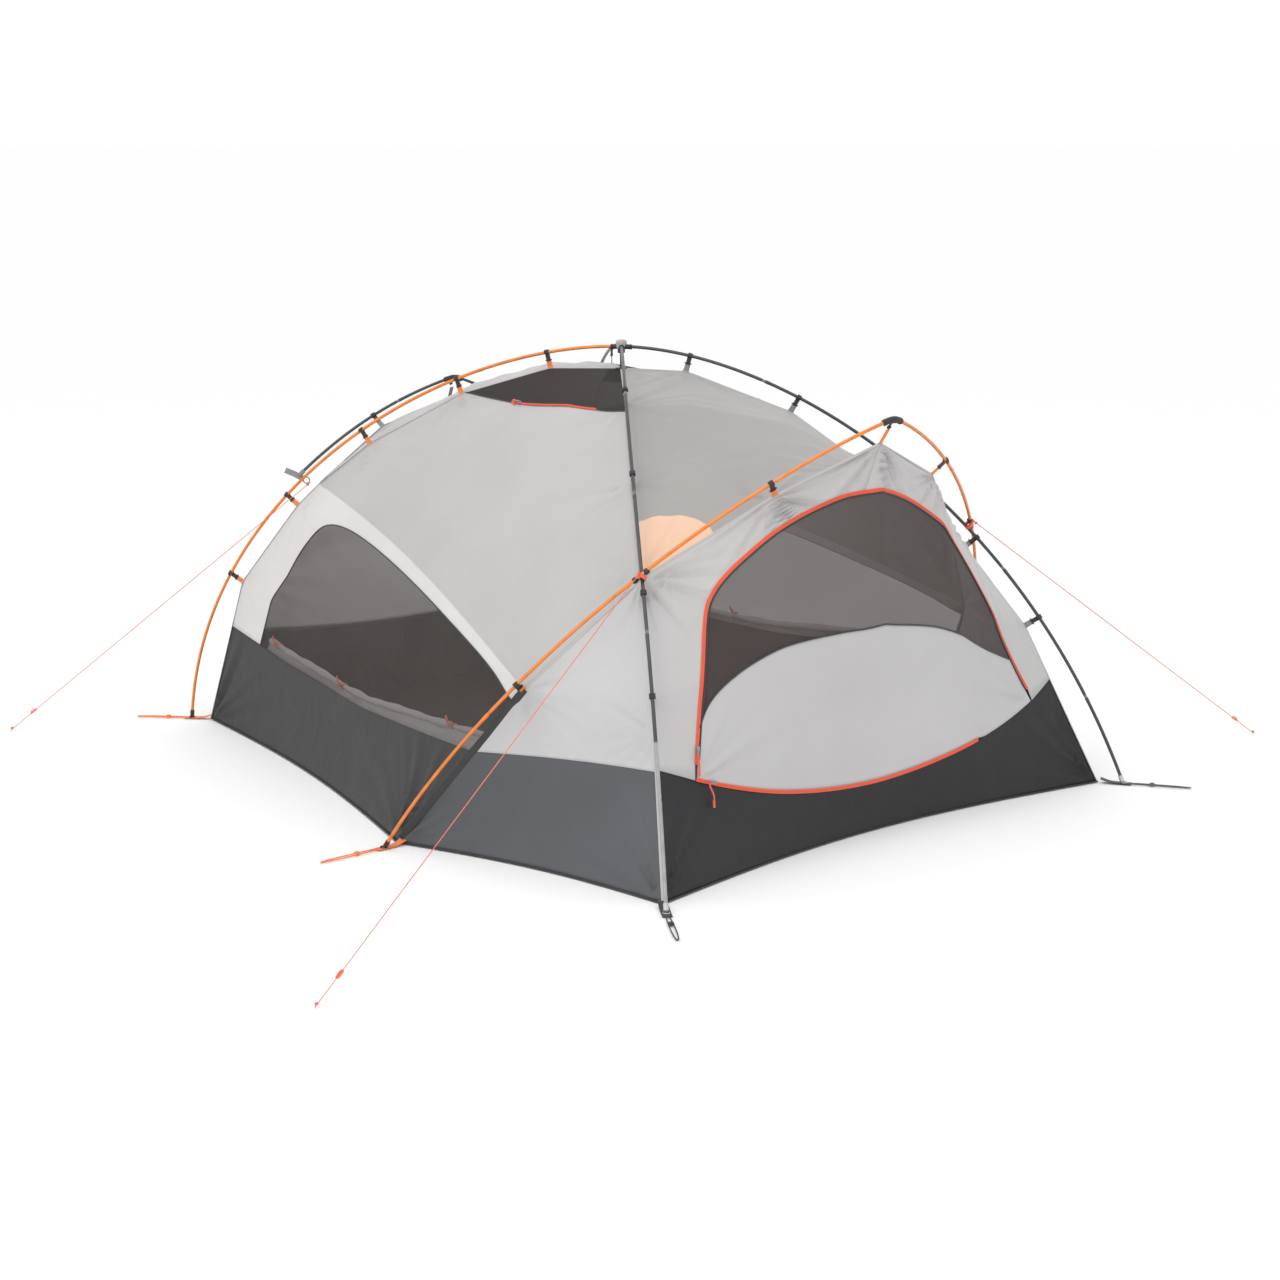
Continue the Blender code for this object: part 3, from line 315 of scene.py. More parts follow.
def solid_material(name, colour, rough, metal=0.0, grain=900.0, depth=0.1, coat=0.0, second=None, mask=None):
    """Hard finish: wear over a base colour, with a second colour where a vertex mask is 1."""
    mat = bpy.data.materials.new(name)
    mat.use_nodes = True
    tree = mat.node_tree
    shader = tree.nodes["Principled BSDF"]
    base = (*colour, 1)
    if mask:
        mark = add(tree, "ShaderNodeAttribute", {"attribute_name": mask})
        mix = add(tree, "ShaderNodeMix", {"data_type": "RGBA"}, _0=mark.outputs["Fac"], _6=base,
                  _7=(*second, 1))
        base = mix.outputs[2]
    worn = add(tree, "ShaderNodeGroup", {"node_tree": WEAR}, Color=base, Roughness=rough, Grain=grain,
               Depth=depth)
    tree.links.new(worn.outputs["Color"], shader.inputs["Base Color"])
    tree.links.new(worn.outputs["Roughness"], shader.inputs["Roughness"])
    tree.links.new(worn.outputs["Normal"], shader.inputs["Normal"])
    shader.inputs["Metallic"].default_value = metal
    shader.inputs["Coat Weight"].default_value = coat
    shader.inputs["Coat Roughness"].default_value = 0.15
    mat.diffuse_color = (*colour, 1)
    return mat


ORANGE_POLE = solid_material("orange_anodised", (0.80, 0.22, 0.03), 0.24, 0.45, 1500, 0.05, 0.25,
                             (0.30, 0.10, 0.03), "ferrule")
GREY_POLE = solid_material("grey_anodised", (0.060, 0.064, 0.066), 0.30, 0.45, 1500, 0.05, 0.2,
                           (0.42, 0.42, 0.42), "ferrule")


def pole(name, curve, mat, node, bare=None, from_end=False):
    """Tube with a groove and a bare ferrule ring at each section joint; below bare it is plain silver."""
    path = resample(curve, 420)
    s = distance(path)
    t = s[-1] - s if from_end else s
    from_joint = (t - 0.19) % SECTION - SECTION / 2
    joint = np.abs(from_joint) < 0.0035
    radius = POLE_R - 0.0005 * joint + 0.00035 * (np.abs(from_joint - 0.012) < 0.008)
    silver = 0.35 * joint
    if bare:
        silver = np.maximum(silver, 0.8 * (path[:, 2] < bare))
    obj = build(name, [tube(path, radius, 16)], mat, nodes=[node])
    value_attribute(obj, "ferrule", np.repeat(silver, 16))
    return obj


hub_gap, tip_gap = 0.012, 0.012
pole("pole_b_front_tube", trim(front_pole(LEFT), hub_gap, tip_gap), GREY_POLE, "pole_b_front",
     bare=0.36)
pole("pole_a_front_tube", trim(front_pole(RIGHT), hub_gap, tip_gap), GREY_POLE, "pole_a_front")
pole("pole_a_rear_tube", trim(rear_pole(LEFT), hub_gap, tip_gap), ORANGE_POLE, "pole_a_rear")
pole("pole_b_rear_tube", trim(rear_pole(RIGHT), hub_gap, tip_gap), GREY_POLE, "pole_b_rear")
for side, word in ((LEFT, "left"), (RIGHT, "right")):
    pole(f"hoop_{word}_tube", trim(hoop_pole(side), tip_gap, hub_gap), ORANGE_POLE,
         f"hoop_{word}", from_end=True)
    pole(f"brow_{word}_tube", trim(brow_pole(side), 0, hub_gap), GREY_POLE, f"brow_{word}")


# Hubs: moulded nylon elbows that hold the pole ends, ribbed at their mouths. The crown hub is a light block
# with four sleeves and a dark lock under it; the hoop and brow hubs are black elbows with a hook below.
BLACK_NYLON = solid_material("black_nylon", (0.022, 0.022, 0.023), 0.42, grain=700, depth=0.25)
LIGHT_NYLON = solid_material("light_nylon", (0.42, 0.37, 0.38), 0.45, grain=700, depth=0.25)


def sleeve(start, end, mouth=0.0086):
    """Round sleeve along a straight or bent run, with two raised ribs at its open mouth."""
    path = resample(np.vstack([start, end]), 40) if np.ndim(start) == 1 else start
    s = np.linspace(0, 1, len(path))
    rib = 0.0009 * ((np.abs(s - 0.97) < 0.03) | (np.abs(s - 0.84) < 0.03))
    return tube(path, mouth - 0.0006 * s + rib, 24)


def rounded_block(centre, size, power=4.0, m=25, n=32):
    """Superellipsoid |x/a|^p + |y/b|^p + |z/c|^p = 1 as a grid of latitude and longitude."""
    lat = np.linspace(-np.pi / 2, np.pi / 2, m)[1:-1, None]
    lon = np.linspace(0, 2 * np.pi, n, endpoint=False)[None]
    d = np.stack([np.cos(lat) * np.cos(lon), np.cos(lat) * np.sin(lon), np.sin(lat) + 0 * lon], -1)
    r = (np.abs(d) ** power).sum(-1, keepdims=True) ** (-1 / power)
    return skin(np.asarray(centre) + d * r * np.asarray(size) / 2)


crown_point = np.array([0, 0, CROWN])
arms = [unit(p[7] - p[0]) for p in (front_pole(LEFT), front_pole(RIGHT), rear_pole(LEFT), rear_pole(RIGHT))]
build("crown_hub", [rounded_block(crown_point + [0, 0, 0.006], (0.026, 0.026, 0.026))], LIGHT_NYLON,
      nodes=["hub_crown"], sharp=40)
build("crown_lock", [rounded_block(crown_point - [0, 0, 0.012], (0.020, 0.014, 0.014)),
                     tube([crown_point - [0, 0, 0.014], crown_point - [0, 0, 0.026]], 0.004)]
      + [sleeve(crown_point + a * 0.004, crown_point + a * 0.030, 0.0072) for a in arms],
      BLACK_NYLON, sharp=40)


def elbow_hub(name, centre, arm_left, arm_right, node):
    """Elbow: two sleeves joined by a thick bend along a parabola, with a flat web and a hook under it."""
    centre = np.asarray(centre)
    t = np.linspace(0, 1, 60)[:, None]
    a, b = centre + arm_left * 0.034, centre + arm_right * 0.034
    bend = (1 - t) ** 2 * a + 2 * (1 - t) * t * (centre + (centre - (a + b) / 2) * 0.25) + t**2 * b
    s = np.abs(t[:, 0] * 2 - 1)
    rib = (np.abs(s - 0.97) < 0.03) | (np.abs(s - 0.82) < 0.03)
    thick = 0.0074 + 0.0016 * (1 - s) ** 0.7 + 0.0009 * rib
    down = unit((a + b) / 2 - centre)
    web = rounded_block(centre + down * 0.007, (0.030, 0.009, 0.010), 3)
    stem = centre + down * 0.012
    hook = np.array([stem, stem + down * 0.010, stem + down * 0.018 + [0, 0.004, 0], stem + down * 0.022,
                     stem + down * 0.016 - [0, 0.005, 0]])
    build(name, [tube(bend, thick, 24), web, tube(resample(hook, 24), 0.0026, 10)], BLACK_NYLON,
          nodes=[node], sharp=50)


front_hub, rear_hub = hoop_pole(LEFT)[-1], brow_pole(LEFT)[-1]
hoop_arms = [unit(hoop_pole(s)[-8] - hoop_pole(s)[-1]) for s in (LEFT, RIGHT)]
brow_arms = [unit(brow_pole(s)[-8] - brow_pole(s)[-1]) for s in (LEFT, RIGHT)]
elbow_hub("front_elbow", front_hub, *hoop_arms, "hub_front")
elbow_hub("rear_elbow", rear_hub, *brow_arms, "hub_rear")


# Canopy layout: the sewn panels hang from the poles, so their seams run between the clips, 44 mm under the
# pole at each one, and straight from clip to clip. Every panel is the smooth patch between its four seams.
CROWN_CLOTH = 1.110
CORNER_FRONT, CORNER_SIDE, CORNER_REAR = (0.797, -1.088), (0.990, -0.292), (0.692, 1.128)
REAR_CROSS = (0.478, 0.812, 0.742)
HOOD_PEAK, BROW_CLOTH_PEAK = (0.0, -0.993, 0.998), (0.0, 0.818, 0.952)
CROSS_AT, KNEE_AT, FOLD_BOW = 0.634, 0.335, 0.045
CLIPS_HIGH = {LEFT: (0.27, 0.476), RIGHT: (0.144, 0.341)}
CLIP_CROSS, CLIP_FRONT_LOW, CLIP_HOOP_HIGH = 0.66, 0.785, 0.78
CLIPS_REAR, CLIPS_REAR_LOW = (0.124, 0.278, 0.443), (0.60, 0.755)
CLIP_DROP = 0.044


def inward(curve):
    """Normals of a curve in its own plane, pointing into the tent."""
    middle = curve[len(curve) // 2]
    plane = unit(np.cross(curve[0] - middle, curve[-1] - middle))
    normal = unit(np.cross(np.gradient(curve, axis=0), plane))
    inside = np.array([0, middle[1] * 0.5, 0.2]) - middle
    return normal if normal[len(curve) // 2] @ inside > 0 else -normal


def under(curve, share, drop):
    """Point a drop below a pole at a share of its length."""
    i = int(round(share * (len(curve) - 1)))
    return curve[i] + inward(curve)[i] * drop


def smooth_line(points, n):
    """Catmull-Rom curve through the points, n samples at even spacing."""
    p = np.asarray(points, float)
    p = np.vstack([2 * p[0] - p[1], p, 2 * p[-1] - p[-2]])
    t = np.linspace(0, 1, 12, endpoint=False)[:, None]
    runs = [0.5 * (2 * b + (c - a) * t + (2 * a - 5 * b + 4 * c - d) * t**2 + (3 * b - a - 3 * c + d) * t**3)
            for a, b, c, d in zip(p[:-3], p[1:-2], p[2:-1], p[3:])]
    return resample(np.vstack([*runs, p[-2:-1]]), n)


def patch(top, bottom, left, right):
    """Coons patch of four edges: two ruled surfaces added, less the bilinear one; a function of u and v."""

    def at(u, v):
        u, v = np.broadcast_arrays(np.asarray(u, float), np.asarray(v, float))
        a, b = u[..., None], v[..., None]
        edges = ((1 - b) * along(top, u) + b * along(bottom, u)
                 + (1 - a) * along(left, v) + a * along(right, v))
        return (edges - (1 - a) * (1 - b) * top[0] - a * (1 - b) * top[-1] - (1 - a) * b * bottom[0]
                - a * b * bottom[-1])

    return at


def ground_line(a, b, bow, n=41):
    """Straight line on the ground, bowed towards the middle of the floor by a half sine."""
    a, b = np.append(a, 0.0), np.append(b, 0.0)
    t = np.linspace(0, 1, n)[:, None]
    w = np.array([a[1] - b[1], b[0] - a[0], 0]) / np.hypot(*(b - a)[:2])
    w = w if w @ (-(a + b) / 2) > 0 else -w
    return a + (b - a) * t + w * bow * np.sin(np.pi * t)


seam = {}
for side in (LEFT, RIGHT):
    mirror = np.array([side, 1, 1])
    front, rear, hoop = front_pole(side), rear_pole(side), hoop_pole(side)
    crown = np.array([0, 0, CROWN_CLOTH])
    cross, rear_cross = under(front, CROSS_AT, 0.035), np.array(REAR_CROSS) * mirror
    knee = under(hoop, KNEE_AT, 0.036)
    corners = CORNER_FRONT, CORNER_SIDE, CORNER_REAR
    corner_f, corner_s, corner_r = [np.array([side * x, y, 0]) for x, y in corners]
    front_high = [under(front, s, CLIP_DROP) for s in CLIPS_HIGH[side]]
    rear_high = [under(rear, s, CLIP_DROP) for s in CLIPS_REAR]
    rear_low = [under(rear, s, CLIP_DROP) for s in CLIPS_REAR_LOW]
    seam["front_up", side] = resample([crown, *front_high, cross], 41)
    seam["front_low", side] = resample([cross, under(front, CLIP_FRONT_LOW, CLIP_DROP), corner_f], 41)
    seam["rear_up", side] = resample([crown, *rear_high, rear_cross], 41)
    seam["rear_low", side] = resample([rear_cross, *rear_low, corner_r], 41)
    seam["hoop_up", side] = resample([cross, under(hoop, CLIP_HOOP_HIGH, 0.05), HOOD_PEAK], 41)
    seam["hoop_mid", side] = resample([cross, knee], 41)
    seam["hoop_low", side] = resample([knee, corner_s], 41)
    seam["leg", side] = resample(np.vstack([seam["hoop_mid", side], seam["hoop_low", side][1:]]), 41)
    seam["brow", side] = resample([rear_cross, under(brow_pole(side), 0.5, CLIP_DROP), BROW_CLOTH_PEAK], 41)
    t = np.linspace(0, 1, 41)[:, None]
    seam["fold", side] = rear_cross + (knee - rear_cross) * t + np.array([0, 0, FOLD_BOW]) * np.sin(np.pi * t)
    seam["ground_side", side] = ground_line(corner_r[:2], corner_s[:2], 0.040)
    seam["ground_corner", side] = ground_line(corner_s[:2], corner_f[:2], 0.036)
ends = [np.array([side * CORNER_FRONT[0], CORNER_FRONT[1]]) for side in (LEFT, RIGHT)]
seam["ground_front"] = ground_line(*ends, 0.090, 81)
ends = [np.array([side * CORNER_REAR[0], CORNER_REAR[1]]) for side in (LEFT, RIGHT)]
seam["ground_rear"] = ground_line(*ends, 0.060, 81)

wall = {}
hood_edge = resample(np.vstack([seam["hoop_up", LEFT], seam["hoop_up", RIGHT][-2::-1]]), 81)
brow_edge = resample(np.vstack([seam["brow", LEFT], seam["brow", RIGHT][-2::-1]]), 81)
wall["front"] = patch(hood_edge, seam["ground_front"], seam["front_low", LEFT], seam["front_low", RIGHT])
wall["rear"] = patch(brow_edge, seam["ground_rear"], seam["rear_low", LEFT], seam["rear_low", RIGHT])
wall["roof_front"] = patch(seam["front_up", RIGHT], seam["hoop_up", LEFT], seam["front_up", LEFT],
                           seam["hoop_up", RIGHT])
wall["roof_rear"] = patch(seam["rear_up", RIGHT], seam["brow", LEFT], seam["rear_up", LEFT],
                          seam["brow", RIGHT])
for side in (LEFT, RIGHT):
    tip = np.repeat(seam["leg", side][:1], 41, 0)
    wall["corner", side] = patch(tip, seam["ground_corner", side], seam["leg", side], seam["front_low", side])
    wall["side", side] = patch(seam["fold", side], seam["ground_side", side], seam["rear_low", side],
                               seam["hoop_low", side])
    wall["roof", side] = patch(seam["front_up", side], seam["fold", side], seam["rear_up", side],
                               seam["hoop_mid", side])


def level(at, u, z):
    """Share v at which a patch has the height z, for each u."""
    v = np.linspace(0, 1, 81)
    heights = at(np.asarray(u)[:, None], v[None])[..., 2]
    return np.array([np.interp(-zz, -row, v) for zz, row in zip(np.broadcast_to(z, np.shape(u)), heights)])


def tub_top(key, u):
    """Share v of the tub's upper edge on a wall: a dip across the ends, a slope along the sides."""
    kind = key if isinstance(key, str) else key[0]
    u = np.asarray(u, float)
    z = {"front": 0.285 - 0.155 * np.sin(np.pi * u), "rear": 0.285 - 0.040 * np.sin(np.pi * u),
         "side": np.interp(u, (0, 0.25, 0.6, 1), (0.298, 0.262, 0.236, 0.255)),
         "corner": 0.255 + 0.025 * u}[kind]
    return level(wall[key], u, z)


def column(key, u):
    """Length of a wall from top to bottom at each u."""
    p = wall[key](np.asarray(u)[:, None], np.linspace(0, 1, 21)[None])
    return np.linalg.norm(np.diff(p, axis=1), axis=2).sum(1)


def basis(key, uv):
    """How a wall's point moves with u and with v, by central differences."""
    at, e = wall[key], 1e-3
    du = (at(uv[:, 0] + e, uv[:, 1]) - at(uv[:, 0] - e, uv[:, 1])) / (2 * e)
    dv = (at(uv[:, 0], uv[:, 1] + e) - at(uv[:, 0], uv[:, 1] - e)) / (2 * e)
    return du, dv


def shift(key, uv, gap):
    """A line of shares moved sideways on its wall by a gap in metres, through the wall's own metric."""
    du, dv = basis(key, uv)
    step = np.gradient(uv, axis=0)
    ahead = unit(du * step[:, :1] + dv * step[:, 1:])
    away = np.cross(unit(np.cross(du, dv)), ahead) * gap
    uu, uw, ww = (du * du).sum(1), (du * dv).sum(1), (dv * dv).sum(1)
    pu, pv = (du * away).sum(1), (dv * away).sum(1)
    det = uu * ww - uw**2
    return uv + np.column_stack([(ww * pu - uw * pv) / det, (uu * pv - uw * pu) / det])


def wall_line(key, uv):
    """Points and outward normals of a wall along a line of shares."""
    p = wall[key](uv[:, 0], uv[:, 1])
    normal = unit(np.cross(*basis(key, uv)))
    return p, normal * np.sign((normal * (p - np.array([0, 0, 0.4]))).sum(1, keepdims=True))


# Cloth: thin woven nylon. A weave group gives thread lines, a ripstop grid, slow shade changes and creases;
# a mesh group gives the open net. Tension folds fan out from the clips and corners that pull on a panel.
def woven_cloth():
    """Group: threads as crossed waves in the cloth's own metres, a coarser ripstop grid, and soft creases."""
    tree, start, end = group("woven_cloth", {
        "Color": ("NodeSocketColor", (0.6, 0.6, 0.6, 1)), "Threads": ("NodeSocketFloat", 1400.0),
        "Ripstop": ("NodeSocketFloat", 160.0), "Depth": ("NodeSocketFloat", 0.25),
        "Crease": ("NodeSocketFloat", 0.3), "Tint": ("NodeSocketFloat", 0.05),
        "Roughness": ("NodeSocketFloat", 0.55)}, {
        "Color": "NodeSocketColor", "Roughness": "NodeSocketFloat", "Normal": "NodeSocketVector"})
    flat = add(tree, "ShaderNodeTexCoord").outputs["UV"]
    place = add(tree, "ShaderNodeTexCoord").outputs["Object"]
    axes = add(tree, "ShaderNodeSeparateXYZ", _0=flat)

    def wave(axis, pitch):
        turned = add(tree, "ShaderNodeMath", {"operation": "MULTIPLY"}, _0=axes.outputs[axis], _1=pitch)
        return add(tree, "ShaderNodeMath", {"operation": "SINE"}, _0=turned.outputs[0]).outputs[0]

    threads = add(tree, "ShaderNodeMath", {"operation": "MULTIPLY"}, _0=wave(0, start.outputs["Threads"]),
                  _1=wave(1, start.outputs["Threads"]))
    peak = add(tree, "ShaderNodeMath", {"operation": "MAXIMUM"}, _0=wave(0, start.outputs["Ripstop"]),
               _1=wave(1, start.outputs["Ripstop"]))
    rib = add(tree, "ShaderNodeMapRange", _0=peak.outputs[0], _1=0.93, _2=1.0)
    weave = add(tree, "ShaderNodeMath", {"operation": "MULTIPLY_ADD"}, _0=threads.outputs[0], _1=0.35,
                _2=rib.outputs[0])
    creases = add(tree, "ShaderNodeTexNoise", Vector=place, Scale=9.0, Detail=5.0, Roughness=0.55,
                  Distortion=0.8)
    fine = add(tree, "ShaderNodeBump", Height=weave.outputs[0], Strength=start.outputs["Depth"],
               Distance=0.0002)
    coarse = add(tree, "ShaderNodeBump", Height=creases.outputs["Fac"], Strength=start.outputs["Crease"],
                 Distance=0.012, Normal=fine.outputs[0])
    shade = add(tree, "ShaderNodeTexNoise", Vector=place, Scale=3.0, Detail=3.0)
    offset = add(tree, "ShaderNodeMapRange", _0=shade.outputs["Fac"], _1=0.3, _2=0.7, _3=-1.0, _4=1.0)
    ribbed = add(tree, "ShaderNodeMath", {"operation": "MULTIPLY_ADD"}, _0=rib.outputs[0], _1=-0.6,
                 _2=offset.outputs[0])
    amount = add(tree, "ShaderNodeMath", {"operation": "MULTIPLY_ADD"}, _0=ribbed.outputs[0],
                 _1=start.outputs["Tint"], _2=1.0)
    tinted = add(tree, "ShaderNodeVectorMath", {"operation": "SCALE"}, _0=start.outputs["Color"],
                 Scale=amount.outputs[0])
    rough = add(tree, "ShaderNodeMath", {"operation": "MULTIPLY_ADD"}, _0=creases.outputs["Fac"], _1=0.10,
                _2=start.outputs["Roughness"])
    tree.links.new(tinted.outputs[0], end.inputs["Color"])
    tree.links.new(rough.outputs[0], end.inputs["Roughness"])
    tree.links.new(coarse.outputs[0], end.inputs["Normal"])
    return tree


WEAVE = woven_cloth()


def open_net():
    """Group: net cells as crossed waves in the cloth's own metres; threads opaque, cells nearly clear."""
    tree, start, end = group("open_net", {
        "Cells": ("NodeSocketFloat", 3400.0), "Thread": ("NodeSocketFloat", 0.85),
        "Hole": ("NodeSocketFloat", 0.45)}, {"Alpha": "NodeSocketFloat", "Normal": "NodeSocketVector"})
    axes = add(tree, "ShaderNodeSeparateXYZ", _0=add(tree, "ShaderNodeTexCoord").outputs["UV"])
    waves = []
    for axis in (0, 1):
        turned = add(tree, "ShaderNodeMath", {"operation": "MULTIPLY"}, _0=axes.outputs[axis],
                     _1=start.outputs["Cells"])
        waves.append(add(tree, "ShaderNodeMath", {"operation": "SINE"}, _0=turned.outputs[0]).outputs[0])
    cell = add(tree, "ShaderNodeMath", {"operation": "MULTIPLY"}, _0=waves[0], _1=waves[1])
    alpha = add(tree, "ShaderNodeMapRange", _0=cell.outputs[0], _1=-1.0, _2=1.0, _3=start.outputs["Hole"],
                _4=start.outputs["Thread"])
    bump = add(tree, "ShaderNodeBump", Height=cell.outputs[0], Strength=0.2, Distance=0.0002)
    tree.links.new(alpha.outputs[0], end.inputs["Alpha"])
    tree.links.new(bump.outputs[0], end.inputs["Normal"])
    return tree


NET = open_net()


def cloth_material(name, colour, rough=0.55, sheen=0.2, tint=0.04, crease=0.3, ripstop=1250.0, second=None,
                   mask=None):
    """Nylon cloth with the weave group; a second colour shows where a vertex distance is above zero."""
    mat = bpy.data.materials.new(name)
    mat.use_nodes = True
    tree = mat.node_tree
    shader = tree.nodes["Principled BSDF"]
    base = (*colour, 1)
    if mask:
        mark = add(tree, "ShaderNodeAttribute", {"attribute_name": mask})
        inside = add(tree, "ShaderNodeMapRange", _0=mark.outputs["Fac"], _1=0.0, _2=0.003, _3=0.0, _4=0.6)
        base = add(tree, "ShaderNodeMix", {"data_type": "RGBA"}, _0=inside.outputs[0], _6=base,
                   _7=(*second, 1)).outputs[2]
    weave = add(tree, "ShaderNodeGroup", {"node_tree": WEAVE}, Color=base, Roughness=rough, Tint=tint,
                Crease=crease, Ripstop=ripstop, Threads=ripstop * 8)
    tree.links.new(weave.outputs["Color"], shader.inputs["Base Color"])
    tree.links.new(weave.outputs["Roughness"], shader.inputs["Roughness"])
    tree.links.new(weave.outputs["Normal"], shader.inputs["Normal"])
    shader.inputs["Sheen Weight"].default_value = sheen
    shader.inputs["Sheen Roughness"].default_value = 0.4
    mat.diffuse_color = (*colour, 1)
    return mat


def net_material(name, colour, hole, thread):
    """Insect net: a dark thread colour that varies slowly, with the net group's openings as alpha."""
    mat = bpy.data.materials.new(name)
    mat.use_nodes = True
    tree = mat.node_tree
    shader = tree.nodes["Principled BSDF"]
    shader.inputs["Roughness"].default_value = 0.75
    shader.inputs["Specular IOR Level"].default_value = 0.15
    net = add(tree, "ShaderNodeGroup", {"node_tree": NET}, Hole=hole, Thread=thread)
    place = add(tree, "ShaderNodeTexCoord").outputs["Object"]
    tone = add(tree, "ShaderNodeTexNoise", Vector=place, Scale=6.0)
    mix = add(tree, "ShaderNodeMix", {"data_type": "RGBA"}, _0=tone.outputs["Fac"],
              _6=(*(0.85 * c for c in colour), 1), _7=(*(1.15 * c for c in colour), 1))
    tree.links.new(mix.outputs[2], shader.inputs["Base Color"])
    tree.links.new(net.outputs["Alpha"], shader.inputs["Alpha"])
    tree.links.new(net.outputs["Normal"], shader.inputs["Normal"])
    mat.diffuse_color = (*colour, 1)
    return mat


WALL_CLOTH = cloth_material("wall_nylon", (0.60, 0.592, 0.585), crease=0.16)
# Painted shade: the corner, front wall and door copies of the same grey nylon are darker than the side walls,
# standing in for the shade on those panels.
SHADED_CORNER_CLOTH = cloth_material("corner_nylon_painted_shade", (0.50, 0.498, 0.502), crease=0.16)
SHADED_FRONT_CLOTH = cloth_material("front_wall_nylon_painted_shade", (0.475, 0.468, 0.466), crease=0.20)
SHADED_DOOR_CLOTH = cloth_material("door_nylon_painted_shade", (0.49, 0.480, 0.484), crease=0.12)
# Painted shade: the roof copies of the grey nylon are darker than the walls, the front roof darkest; the front
# roof's orange pocket is its own colour.
SHADED_ROOF_CLOTH = cloth_material("roof_nylon_painted_shade", (0.435, 0.427, 0.423), crease=0.20)
SHADED_FRONT_ROOF_CLOTH = cloth_material("front_roof_nylon_painted_shade", (0.315, 0.303, 0.295), crease=0.20,
                                  second=(1.0, 0.60, 0.36), mask="pocket")
TUB_CLOTH = cloth_material("tub_nylon", (0.019, 0.0185, 0.0205), 0.5, 0.0, 0.10, 0.25)
# Painted light: the front corner copy of the tub nylon is lighter and bluish as a painted sky sheen, the front
# copy darker as painted shade.
PAINTED_SHEEN_TUB_CLOTH = cloth_material("tub_nylon_painted_sheen", (0.074, 0.079, 0.086), 0.38, 0.10, 0.10, 0.30)
SHADED_TUB_FRONT_CLOTH = cloth_material("tub_front_nylon_painted_shade", (0.0095, 0.0088, 0.0110), 0.55, 0.0, 0.10, 0.25)
NET_CLOTH = net_material("insect_net", (0.100, 0.086, 0.080), 0.32, 0.66)
DOOR_NET = net_material("door_net", (0.076, 0.062, 0.058), 0.62, 0.90)
# Painted shade: the vent net is much darker and denser than the window net, standing in for the shaded inside of
# the tent seen through it.
SHADED_VENT_NET = net_material("vent_net_painted_shade", (0.020, 0.0155, 0.0140), 0.84, 0.97)
NETS = (NET_CLOTH, DOOR_NET, SHADED_VENT_NET)


def pull_folds(grid, anchors, reach, height, rays, seed):
    """Folds h sin(k a + p) exp(-r / reach) round each anchor in the panel's plane, and none at its edges."""
    rng = np.random.default_rng(seed)
    m, n = grid.shape[:2]
    centre = grid.reshape(-1, 3).mean(0)
    axes = np.linalg.svd(grid.reshape(-1, 3)[::11] - centre, full_matrices=False)[2]
    flat = (grid - centre) @ axes[:2].T
    lift = np.zeros((m, n))
    for anchor in anchors:
        d = flat - (np.asarray(anchor) - centre) @ axes[:2].T
        r, a = np.hypot(d[..., 0], d[..., 1]), np.arctan2(d[..., 1], d[..., 0])
        fade = np.exp(-r / reach) * np.clip(r / 0.05, 0, 1) / len(rays)
        for k in rays:
            lift += height * np.sin(k * a + rng.uniform(0, 6.28)) * fade
    rows, columns = np.arange(m), np.arange(n)
    i, j = np.minimum(rows, rows[::-1])[:, None], np.minimum(columns, columns[::-1])[None]
    edge = np.clip(np.minimum(i, j) / 3, 0, 1)
    normal = unit(np.cross(np.gradient(grid, axis=1), np.gradient(grid, axis=0)) + 1e-12)
    return grid + normal * (lift * edge * edge * (3 - 2 * edge))[..., None]


def cloth(name, grid, mat, nodes, anchors=(), reach=0.25, height=0.006, rays=(9, 14, 21), body="tent",
          sag=0.0, seed=1):
    """Panel of cloth: a grid hollowed by sag sin(pi u) sin(pi v), folded, 0.5 mm thick unless it is net, and
    standing in for the CAD parts it hides.
    """
    grid = np.asarray(grid, float)
    m, n = grid.shape[:2]
    normal = unit(np.cross(np.gradient(grid, axis=1), np.gradient(grid, axis=0)) + 1e-12)
    outward = grid - np.array([0, 0, 0.35])
    if (normal * outward).sum() < 0:
        grid, normal = grid[:, ::-1], -normal[:, ::-1]
    hollow = np.sin(np.pi * np.linspace(0, 1, m))[:, None] * np.sin(np.pi * np.linspace(0, 1, n))[None]
    grid = grid - normal * (sag * hollow)[..., None]
    if len(anchors):
        grid = pull_folds(grid, anchors, reach, height, rays, seed)
    across = np.linalg.norm(np.diff(grid, axis=1), axis=2)
    down = np.linalg.norm(np.diff(grid, axis=0), axis=2)
    u = np.pad(np.cumsum(across, axis=1), ((0, 0), (1, 0)))
    v = np.pad(np.cumsum(down, axis=0), ((1, 0), (0, 0)))
    metres = np.stack([u, v], -1).reshape(-1, 2)
    obj = build(name, [skin(grid, wrap=False)], mat, body, nodes, metres, closed=False)
    if mat not in NETS:
        solid = obj.modifiers.new("thickness", "SOLIDIFY")
        solid.thickness, solid.offset = 0.0005, 0.0
    return obj, grid


def between(start, end, rows, share=None):
    """Rows of shares from one line to another, evenly or at given shares."""
    r = (np.linspace(0, 1, rows) if share is None else share)[:, None, None]
    return start * (1 - r) + end * r


